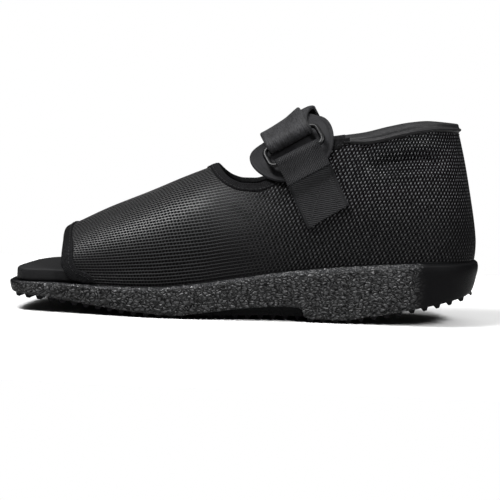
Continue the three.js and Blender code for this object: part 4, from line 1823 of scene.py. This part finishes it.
    def seams(self) -> bpy.types.Object:
        """Makes the stitches under the collar roll and along the tapes.

        Returns:
            The stitches' object.
        """
        patch = Patch()
        plan = (("collar", self.width + 1.1, 0.05), ("throat", 4.9, 0.95), ("toe", 4.7, 0.95))
        thread = Thread(length=1.9, radius=0.2, rise=0.16)
        for name, down, grow in plan:
            line = self.lines[name]
            for side in Side:
                thread.along(patch, side.turn(line.at(down, grow)), side.turn(line.normal), 2.7)
        return make_piece("seam_stitches", patch, self.last.slant, weld=0.0001)

    def dress(self) -> list[bpy.types.Object]:
        """Makes the tapes, the collar's roll and their stitches.

        Returns:
            Their objects.
        """
        tapes = self.build()
        settle(tapes["toe_tape"], "toe_binding", KnitTape(), "toe_binding")
        settle(tapes["throat_tape"], "throat_binding", KnitTape(), "throat_binding")
        settle(tapes["collar_roll_cover"], "collar_roll", CollarCloth(), "collar_roll")
        return [*tapes.values(), settle(self.seams(), "throat_binding", SewingThread())]


# Stitching


@dataclass(frozen=True)
class Thread:
    """A line of sewn stitches, each a short thread that dips into the cloth at both ends."""

    length: float = 2.6
    radius: float = 0.28
    rise: float = 0.22
    sides: int = 6
    steps: int = 6

    def sew(self, patch: Patch, start: Array, end: Array, out: Array) -> None:
        """Adds one stitch.

        Args:
            patch: the stitching's patch.
            start: where it comes out of the cloth.
            end: where it goes back in.
            out: the cloth's outward direction.
        """
        run = end - start
        size = float(np.linalg.norm(run))
        side = np.cross(out, run / size)
        spin = around(self.sides)
        rows, lay = [], []
        for t in np.linspace(0, 1, self.steps):
            bow = np.sin(np.pi * t)
            middle = start + run * t + out * (self.rise * bow**0.6 - self.radius * 0.5)
            thick = self.radius * (0.45 + 0.55 * bow**0.4)
            rows.append(middle + thick * (np.cos(spin)[:, None] * side + np.sin(spin)[:, None] * out))
            lay.append(np.stack([np.full(self.sides, t * size), spin / (2 * np.pi), 0 * spin], -1))
        index = patch.add(np.stack(rows), np.stack(lay))
        patch.grid(index, wrap_columns=True)
        patch.cap(index[0], index[-1][::-1])

    def along(self, patch: Patch, line: Array, out: Array, pitch: float) -> None:
        """Adds stitches along a line.

        Args:
            patch: the stitching's patch.
            line: the points of the line.
            out: their outward directions.
            pitch: from one stitch to the next.
        """
        run = run_along(line)

        def read(rows: Array, place: float) -> Array:
            """The rows' value at a run along the line."""
            return np.array([np.interp(place, run, rows[:, k]) for k in range(3)])

        for start in np.arange(pitch / 2, run[-1] - self.length, pitch):
            end = start + self.length
            self.sew(patch, read(line, start), read(line, end), unit(read(out, start)))


# Closure


def rounded(place: Array, radius: float) -> Array:
    """Share of the full thickness at places along a band with both ends rounded."""
    near = np.minimum(place, place[-1] - place)
    return np.sqrt(np.clip(1 - (1 - np.clip(near / radius, 0, 1)) ** 2, 0, 1))


def thick_sheet(patch: Patch, middle: Array, thickness: float, round_ends: float = 0.5) -> None:
    """Adds a flat band of cloth round a middle surface.

    Args:
        patch: the patch to add to.
        middle: rows along the band of points across it.
        thickness: of the band.
        round_ends: radius of its end edges as a share of its thickness.
    """
    out = unit(np.cross(np.gradient(middle, axis=0), np.gradient(middle, axis=1)))
    run = run_along(middle[:, middle.shape[1] // 2])
    steps = np.linalg.norm(np.diff(middle, axis=1), axis=-1)
    edge = np.concatenate([[0], np.cumsum(steps.mean(0))])
    shape = rounded(run, thickness * round_ends)[:, None] * rounded(edge, thickness / 2)
    half = thickness / 2 * shape[..., None]
    lay = np.zeros_like(middle)
    lay[..., 0], lay[..., 1] = run[:, None], edge - steps.sum(1).mean() / 2
    patch.sheet(middle + out * half, lay)
    patch.sheet(middle - out * half, lay)


@dataclass
class Closure:
    """The strap, its ring, the pad beneath and the webbing that holds the ring."""

    last: Last
    tilt: float = np.radians(32.0)
    along: float = 79.3
    pivot: float = 45.0
    strap_width: float = 30.0
    strap_thickness: float = 2.6
    strap_slant: float = 9.0
    strap_clear: float = 7.0
    strap_far_end: float = 196.0
    strap_near_end: float = 122.0
    strap_settles: tuple[float, float] = (96.0, 126.0)
    webbing_width: float = 29.5
    webbing_thickness: float = 1.5
    webbing_slant: float = -2.6
    webbing_clear: float = 5.0
    webbing_end: float = -20.0
    webbing_fold: float = 18.0
    ring_inside: float = 33.0
    ring_bar: float = 3.2
    ring_pitch: float = 14.0
    ring_corner: float = 4.0
    ring_turn: float = 38.0
    pad_length: float = 52.0
    pad_thickness: float = 3.0
    pad_turn: float = 55.0
    pad_round: float = 43.0
    binding_proud: float = 0.6
    gap: float = 0.3
    drape_gap: float = 0.65

    def __post_init__(self) -> None:
        """Places the ring's bars."""
        self.pad_lift = self.binding_proud + self.drape_gap
        self.pad_top = self.pad_lift + self.pad_thickness
        self.webbing_lift = self.pad_top + self.drape_gap + self.webbing_thickness / 2
        self.strap_lift = self.pad_top + self.drape_gap + self.strap_thickness / 2
        self.lower_bar = self.bar_over(self.ring_turn, self.webbing_lift, self.webbing_thickness)

        def step(angle: Value) -> Array:
            """From the lower bar's middle to the upper bar's, as y and up."""
            upper = self.bar_over(angle, self.strap_lift, self.strap_thickness)
            return (np.array(upper(np.zeros(1))) - np.array(self.lower_bar(np.zeros(1))))[:, 0]

        def near(angle: Array) -> bool:
            """True where the upper bar would be too close to the lower bar."""
            return np.hypot(*step(angle)) < self.ring_pitch

        self.upper_turn = float(halve(self.ring_turn, 120.0, near, 30)[0])
        self.upper_bar = self.bar_over(self.upper_turn, self.strap_lift, self.strap_thickness)
        y, up = step(self.upper_turn)
        self.ring_lean = float(np.arctan2(up, y))

    def point(self, along: Value, y: Value, up: Value) -> Array:
        """A point in the shoe's frame from the closure's tilted planes.

        Args:
            along: along the planes.
            y: across the shoe.
            up: up the planes.

        Returns:
            The point.
        """
        cosine, sine = np.cos(self.tilt), np.sin(self.tilt)
        along, y, up = np.broadcast_arrays(along, y, up)
        return np.stack([along * cosine - up * sine, y, along * sine + up * cosine], -1)

    def within(self, point: Array, grow: Value) -> Array:
        """Tells whether points are inside the grown last.

        Args:
            point: the points.
            grow: by how much it is grown.

        Returns:
            True for those inside.
        """
        last = self.last
        x, y, z = point[..., 0], point[..., 1], point[..., 2]
        low = last.rim(x) + last.gap
        rise = (z - low) / (last.crown(x) + grow - low)
        half = last.half_width(x) - last.feather_inset + grow
        limit = half * (1 - np.clip(rise, 0, 1) ** last.section_power) ** (1 / last.section_power)
        return (rise < 1) & (np.abs(y) < limit)

    def form(self, along: Value, angle: Value, grow: Value) -> tuple[Array, Array]:
        """Where a ray from the pivot leaves the grown last.

        Args:
            along: place along the planes.
            angle: 0 degrees at the ring's side, 90 at the crown.
            grow: by how much the last is grown.

        Returns:
            Its y and up.
        """
        along, angle, grow = np.broadcast_arrays(np.asarray(along, float), np.asarray(angle, float), grow)
        turn = np.radians(angle)

        def at(reach: Array) -> tuple[Array, Array]:
            """The ray's y and up at a reach."""
            return -reach * np.cos(turn), self.pivot + reach * np.sin(turn)

        def held(reach: Array) -> Array:
            """True where the ray is still inside."""
            return self.within(self.point(along, *at(reach)), grow)

        return at(halve(np.zeros_like(turn), np.full_like(turn, 220.0), held)[0])

    def bar_over(self, angle: Value, lift: float, thickness: float) -> Bar:
        """The middle line of a ring bar, square off the highest part of the band under it.

        Args:
            angle: where the bar lies over the form, in degrees.
            lift: of the band's middle over the form.
            thickness: of the band.

        Returns:
            A function of a place along the bar that gives its y and up.
        """
        alongs = self.along + np.array([-1, 0, 1]) * self.strap_width / 2
        place = np.array(self.form(alongs, angle, lift))
        run = np.array(self.form(alongs, angle + 1, lift)) - np.array(self.form(alongs, angle - 1, lift))
        out = np.array([-run[1, 1], run[0, 1]]) / np.hypot(*run[:, 1])
        start = (place[:, 0] + place[:, 2]) / 2
        bulge = float(np.dot(place[:, 1] - start, out))
        reach = (thickness + self.ring_bar) / 2 + self.gap + max(0.0, bulge)

        def bar(edge: Array) -> tuple[Array, Array]:
            """The bar's y and up at a place along it."""
            rate = (place[:, 2] - place[:, 0]) / self.strap_width
            return tuple(start[k] + rate[k] * edge + reach * out[k] for k in (0, 1))

        return bar

    def on_form(self, edge: Array, angle: float, lift: float, shift: float = 0.0) -> Array:
        """A row across a band on the form.

        Args:
            edge: places across the band.
            angle: where over the form, in degrees.
            lift: height over the form.
            shift: shift along the shoe.

        Returns:
            The row.
        """
        along = self.along + shift + edge
        y, up = self.form(along, angle, lift)
        return self.point(along, y, up)

    def round_bar(self, edge: Array, bar: Bar, angle: float, thickness: float) -> Array:
        """A row across a band round a ring bar.

        Args:
            edge: places across the band.
            bar: the bar.
            angle: where round it, in degrees.
            thickness: of the band.

        Returns:
            The row.
        """
        turn = self.ring_lean + np.radians(angle)
        reach = (self.ring_bar + thickness) / 2 + self.gap
        y, up = bar(edge)
        return self.point(self.along + edge, y + reach * np.cos(turn), up + reach * np.sin(turn))

    def across(self, width: float, thickness: float, steps: int = 22) -> Array:
        """Places across a band, close together at its rounded edges.

        Args:
            width: of the band.
            thickness: of the band.
            steps: how many lie between the edges.

        Returns:
            The places.
        """
        rim = thickness / 2 * (1 - np.cos(np.linspace(0, np.pi / 2, 5)))
        inner = np.linspace(rim[-1], width - rim[-1], steps)[1:-1]
        return np.concatenate([rim, inner, (width - rim)[::-1]]) - width / 2

    def spread(self, rows: Sequence[Array], spacing: float, ends: float = 0.6) -> Array:
        """Rows of a band spread evenly along a smooth curve through the given rows.

        Args:
            rows: rows across the band, in order.
            spacing: how far apart the new rows are.
            ends: how far the first and last few rows are kept apart, for the rounded ends.

        Returns:
            The new rows.
        """
        key = np.stack(rows)
        run = run_along(key[:, key.shape[1] // 2])
        flat = key.reshape(len(key), -1)
        near = ends * (1 - np.cos(np.linspace(0, np.pi / 2, 5)))
        inner = np.linspace(ends, run[-1] - ends, int(run[-1] / spacing))
        at = np.concatenate([near[:-1], inner, (run[-1] - near[:-1])[::-1]])
        i = np.clip(np.searchsorted(run, at, side="right") - 1, 0, len(run) - 2)
        span = (run[i + 1] - run[i])[:, None]
        curve = hermite(flat, np.gradient(flat, run, axis=0), i, (at - run[i])[:, None] / span, span)
        return curve.reshape(len(at), *key.shape[1:])

    def strap(self) -> bpy.types.Object:
        """Makes the strap: up the far side, over the instep, round the upper bar and back over itself.

        Returns:
            The piece's object.
        """
        patch, rows = Patch(), []
        edge = self.across(self.strap_width, self.strap_thickness)
        first = self.upper_turn + self.strap_clear
        settled = self.binding_proud + self.drape_gap + self.strap_thickness / 2

        def lift(angle: float) -> float:
            """Lift of the lower layer, which settles past the pad."""
            return float(lerp(self.strap_lift, settled, smooth(*self.strap_settles, angle)))

        for angle in np.linspace(self.strap_far_end, first, 84):
            shift = self.strap_slant * float(smooth(first, self.strap_settles[0], angle))
            rows.append(self.on_form(edge, angle, lift(angle), shift))
        for angle in np.linspace(-90, -270, 15):
            rows.append(self.round_bar(edge, self.upper_bar, angle, self.strap_thickness))
        for angle in np.linspace(first, self.strap_near_end, 40):
            past = angle - self.upper_turn
            loose = (self.ring_bar + self.gap) * (1 - float(smooth(0, 34, past)))
            ripple = 0.2 * np.sin(angle * 0.35) + 0.9 * float(hump(past - 16, 12))
            over = self.strap_thickness + self.gap + loose + ripple
            rows.append(self.on_form(edge, angle, lift(angle) + over))
        thick_sheet(patch, self.spread(rows, 0.9, 1.3), self.strap_thickness)
        return make_piece("loop_strap", patch, self.last.slant, weld=0.004)

    def webbing(self) -> tuple[bpy.types.Object, bpy.types.Object]:
        """Makes the doubled webbing and its box of stitches.

        Returns:
            Both objects.
        """
        patch, sewn = Patch(), Patch()
        edge = self.across(self.webbing_width, self.webbing_thickness)
        settled = self.drape_gap + self.webbing_thickness / 2
        last_turn = self.ring_turn - self.webbing_clear

        def under(angle: float) -> float:
            """Lift of the lower layer."""
            lip = 0.5 * float(smooth(-14, self.webbing_end, angle))
            return float(lerp(settled, self.webbing_lift, smooth(9, 18, angle))) + lip

        def slant(angle: float) -> float:
            """Shift of the band along the shoe."""
            return self.webbing_slant * float(smooth(last_turn, self.webbing_end, angle))

        rows = []
        for angle in np.linspace(self.webbing_end, last_turn, 60):
            rows.append(self.on_form(edge, angle, under(angle), slant(angle)))
        for angle in np.linspace(-90, 90, 13):
            rows.append(self.round_bar(edge, self.lower_bar, angle, self.webbing_thickness))
        for angle in np.linspace(last_turn, self.webbing_fold, 22):
            loose = (self.ring_bar + self.gap) * float(smooth(self.ring_turn - 14, self.ring_turn, angle))
            lift = under(angle) + self.webbing_thickness + self.gap + loose
            rows.append(self.on_form(edge, angle, lift, slant(angle)))
        thick_sheet(patch, self.spread(rows, 0.8, 0.5), self.webbing_thickness, 0.28)
        band = make_piece("ring_webbing", patch, self.last.slant, weld=0.004)
        self.sew_box(sewn, under, slant)
        return band, make_piece("webbing_stitches", sewn, self.last.slant, weld=0.0001)

    def sew_box(self, sewn: Patch, under: Curve, slant: Curve) -> None:
        """Adds the box and cross on the webbing's lower part.

        Args:
            sewn: the stitching's patch.
            under: lift of the webbing's lower layer at an angle.
            slant: its shift along the shoe.
        """
        thread = Thread(length=2.3, radius=0.24, rise=0.2)
        side, top, low = 10.6, 14.5, -15.5
        corners = [(-side, low), (side, low), (side, top), (-side, top)]
        pairs = ((0, 1), (1, 2), (2, 3), (3, 0), (0, 2), (1, 3))
        for start, end in pairs:
            t = np.linspace(0, 1, 40)[:, None]
            face, out = [], []
            for edge, angle in lerp(np.array(corners[start]), np.array(corners[end]), t):
                lift = under(angle) + self.webbing_thickness / 2
                place = np.array([edge]), angle, lift, slant(angle)
                face.append(self.on_form(*place)[0])
                above = self.on_form(place[0], angle, lift + 1.0, place[3])[0]
                out.append(above - face[-1])
            thread.along(sewn, np.array(face), unit(np.array(out)), 3.1)

    def ring_point(self, along: Array, across: Array, lift: Array) -> Array:
        """A point in the ring's own frame.

        Args:
            along: along the bars.
            across: from bar to bar.
            lift: out of its plane.

        Returns:
            The point.
        """
        one, other = self.lower_bar(along), self.upper_bar(along)
        t = 0.5 + across / self.ring_pitch
        y = lerp(one[0], other[0], t) - lift * np.sin(self.ring_lean)
        up = lerp(one[1], other[1], t) + lift * np.cos(self.ring_lean)
        return self.point(self.along + along, y, up)

    def ring(self) -> bpy.types.Object:
        """Makes the rectangular ring of round bar.

        Returns:
            The piece's object.
        """
        patch = Patch()
        half_along, half_pitch = (self.ring_inside + self.ring_bar) / 2, self.ring_pitch / 2
        inner = np.array([half_along, half_pitch]) - self.ring_corner
        middles, outs = [], []
        for corner, signs in enumerate([(1, 1), (-1, 1), (-1, -1), (1, -1)]):
            for angle in np.radians(np.linspace(corner * 90, corner * 90 + 90, 13)):
                outs.append(np.array([np.cos(angle), np.sin(angle)]))
                middles.append(inner * signs + self.ring_corner * outs[-1])
        middle, out = [], []
        for i, begin in enumerate(middles):
            end = middles[(i + 1) % len(middles)]
            steps = max(1, int(np.linalg.norm(end - begin) / 1.2))
            middle += [lerp(begin, end, k / steps) for k in range(steps)]
            out += [outs[i]] * steps
        spin = around(24)
        radius = self.ring_bar / 2
        lift = radius * 0.94 * np.sin(spin)
        place = np.array(middle)[:, :, None] + np.array(out)[:, :, None] * (radius * np.cos(spin))
        along, across = place[:, 0], place[:, 1]
        index = patch.add(self.ring_point(along, across, np.broadcast_to(lift, along.shape)))
        patch.grid(index, wrap_rows=True, wrap_columns=True)
        return make_piece("strap_ring", patch, self.last.slant, weld=0.004)

    def pad_place(self, reach: Array, spin: Array, lift: Array) -> Array:
        """A point of the round pad.

        Args:
            reach: share of its radius.
            spin: angle round it.
            lift: height in it.

        Returns:
            The point.
        """
        half = self.pad_length / 2
        along = self.along - 1.0 + (half + 0.8) * reach * np.cos(spin)
        angle = self.pad_turn + np.degrees(half * reach * np.sin(spin) / self.pad_round)
        y, up = self.form(along, angle, self.pad_lift + lift)
        return self.point(along, y, up)

    def pad(self) -> tuple[bpy.types.Object, bpy.types.Object]:
        """Makes the crowned round pad and the piping round its edge.

        Returns:
            Both objects.
        """
        half, thick = self.pad_length / 2, self.pad_thickness
        spin = around(120)
        none = np.zeros_like(spin)
        body, piping = Patch(), Patch()
        profile = [(r, 0.15) for r in np.linspace(0.0, 0.93, 10)]
        for turn in np.linspace(0, np.pi, 9):
            profile.append((0.965 + 0.02 * np.sin(turn), thick * (0.5 - 0.42 * np.cos(turn))))
        for r in np.linspace(0.945, 0.0, 22):
            profile.append((r, thick * (0.86 + 0.14 * (1 - r**4) - 0.16 * hump(r - 0.9, 0.035))))
        rows = [self.pad_place(none + r, spin, none + height) for r, height in profile]
        lay = [np.stack([half * r * np.cos(spin), half * r * np.sin(spin), none], -1) for r, _ in profile]
        body.grid(body.add(np.stack(rows), np.stack(lay)), wrap_columns=True)
        rows, lay = [], []
        for turn in around(12):
            reach, height = 0.985 + 1.15 * np.cos(turn) / half, thick * 0.52 + 1.25 * np.sin(turn)
            rows.append(self.pad_place(none + reach, spin, none + height))
            lay.append(np.stack([half * spin, none + 1.2 * turn, none], -1))
        piping.grid(piping.add(np.stack(rows), np.stack(lay)), wrap_rows=True, wrap_columns=True)
        slant = self.last.slant
        return make_piece("round_pad", body, slant), make_piece("pad_piping", piping, slant, weld=0.004)

    def dress(self) -> list[bpy.types.Object]:
        """Makes the pad with its piping, the webbing with its stitches, the ring and the strap.

        Returns:
            Their objects.
        """
        pad, piping = self.pad()
        settle(pad, "ring_pad", PaddedCloth(), "ring_pad")
        settle(piping, "ring_pad", PaddedCloth())
        band, stitches = self.webbing()
        settle(band, "webbing", TwillWebbing(), "webbing")
        settle(stitches, "webbing", SewingThread())
        ring = settle(self.ring(), "ring", GlossPlastic(), "ring")
        strap = settle(self.strap(), "strap", LoopPile(), "strap")
        return [pad, piping, band, stitches, ring, strap]


# Studio


@dataclass(frozen=True)
class Lamp:
    """A soft area lamp."""

    name: str
    at: tuple[float, float, float]
    aim: tuple[float, float, float]
    size: tuple[float, float]
    power: float

    def hang(self) -> None:
        """Adds the lamp to the scene."""
        light = bpy.data.lights.new(self.name, "AREA")
        light.shape = "RECTANGLE"
        light.size, light.size_y = self.size
        light.energy = self.power
        holder = link(self.name, light)
        holder.location = self.at
        holder.rotation_euler = (Vector(self.aim) - Vector(self.at)).to_track_quat("-Z", "Y").to_euler()


@dataclass(frozen=True)
class Studio:
    """Camera, pale floor, sky and lamps."""

    eye: tuple[float, float, float] = (0.0017, -1.2, 0.15)
    aim: tuple[float, float, float] = (0.0017, 0.0, 0.04)
    roll: float = 2.55
    lens: float = 136.3
    sky: float = 0.05
    backdrop: float = 1.0
    floor_half: float = 300.0
    lamps: tuple[Lamp, ...] = (
        Lamp("ceiling_box", (0.0, 0.1, 1.9), (0.0, 0.1, 0.0), (3.6, 3.6), 58.0),
        Lamp("key_box", (-0.55, -0.42, 1.12), (0.0, 0.0, 0.06), (0.6, 0.26), 36.0),
        Lamp("heel_box", (0.72, -0.8, 0.85), (0.1, 0.0, 0.07), (0.3, 0.4), 24.0),
    )

    def place_camera(self) -> None:
        """Sets the camera at the photo's angle, rolled so that the heel looks lower."""
        eye, aim = Vector(self.eye), Vector(self.aim)
        ahead = (aim - eye).normalized()
        level = ahead.cross(Vector((0, 0, 1))).normalized()
        top = level.cross(ahead)
        cosine, sine = float(np.cos(np.radians(self.roll))), float(np.sin(np.radians(self.roll)))
        right, up = level * cosine + top * sine, top * cosine - level * sine
        turn = Matrix((right, up, -ahead)).transposed().to_4x4()
        camera = bpy.data.cameras.new("camera")
        camera.lens = self.lens
        camera.sensor_width = 36.0
        camera.sensor_fit = "HORIZONTAL"
        camera.dof.use_dof = False
        holder = link("camera", camera)
        holder.matrix_world = Matrix.Translation(eye) @ turn
        bpy.context.scene.camera = holder

    def lay_floor(self) -> None:
        """Makes the floor, far larger than the view."""
        patch = Patch()
        side = np.array([-self.floor_half, self.floor_half])
        x, y = np.meshgrid(side, side, indexing="ij")
        patch.sheet(np.stack([x, y, 0 * x], -1))
        floor = make_piece("floor", patch)
        floor.data.materials.append(StudioFloor().material())

    def light(self) -> None:
        """Lights the scene with a dim even sky, a white backdrop and the lamps."""
        bench = Bench(bpy.data.worlds.new("sky"), "ShaderNodeOutputWorld")
        white = (1.0, 1.0, 1.0, 1.0)
        sky, backdrop = (
            bench.wire("ShaderNodeBackground", None, {"Color": white, "Strength": strength})
            for strength in (self.sky, self.backdrop)
        )
        seen = bench.wire("ShaderNodeLightPath", out="Is Camera Ray")
        bpy.context.scene.world = bench.ends(bench.mix(seen, sky, backdrop))
        bpy.context.scene.view_settings.view_transform = "Standard"
        for lamp in self.lamps:
            lamp.hang()


def main() -> None:
    """Builds the studio and the shoe, piece by piece."""
    logging.basicConfig(level=logging.INFO, format="%(message)s")
    studio = Studio()
    studio.place_camera()
    studio.lay_floor()
    studio.light()
    last = Last()
    for maker in (Sole, Footbed, Upper, Bindings, Closure):
        for piece in maker(last).dress():
            LOG.info("%s: %s with %d faces", maker.__name__, piece.name, len(piece.data.polygons))


if __name__ == "__main__":
    main()
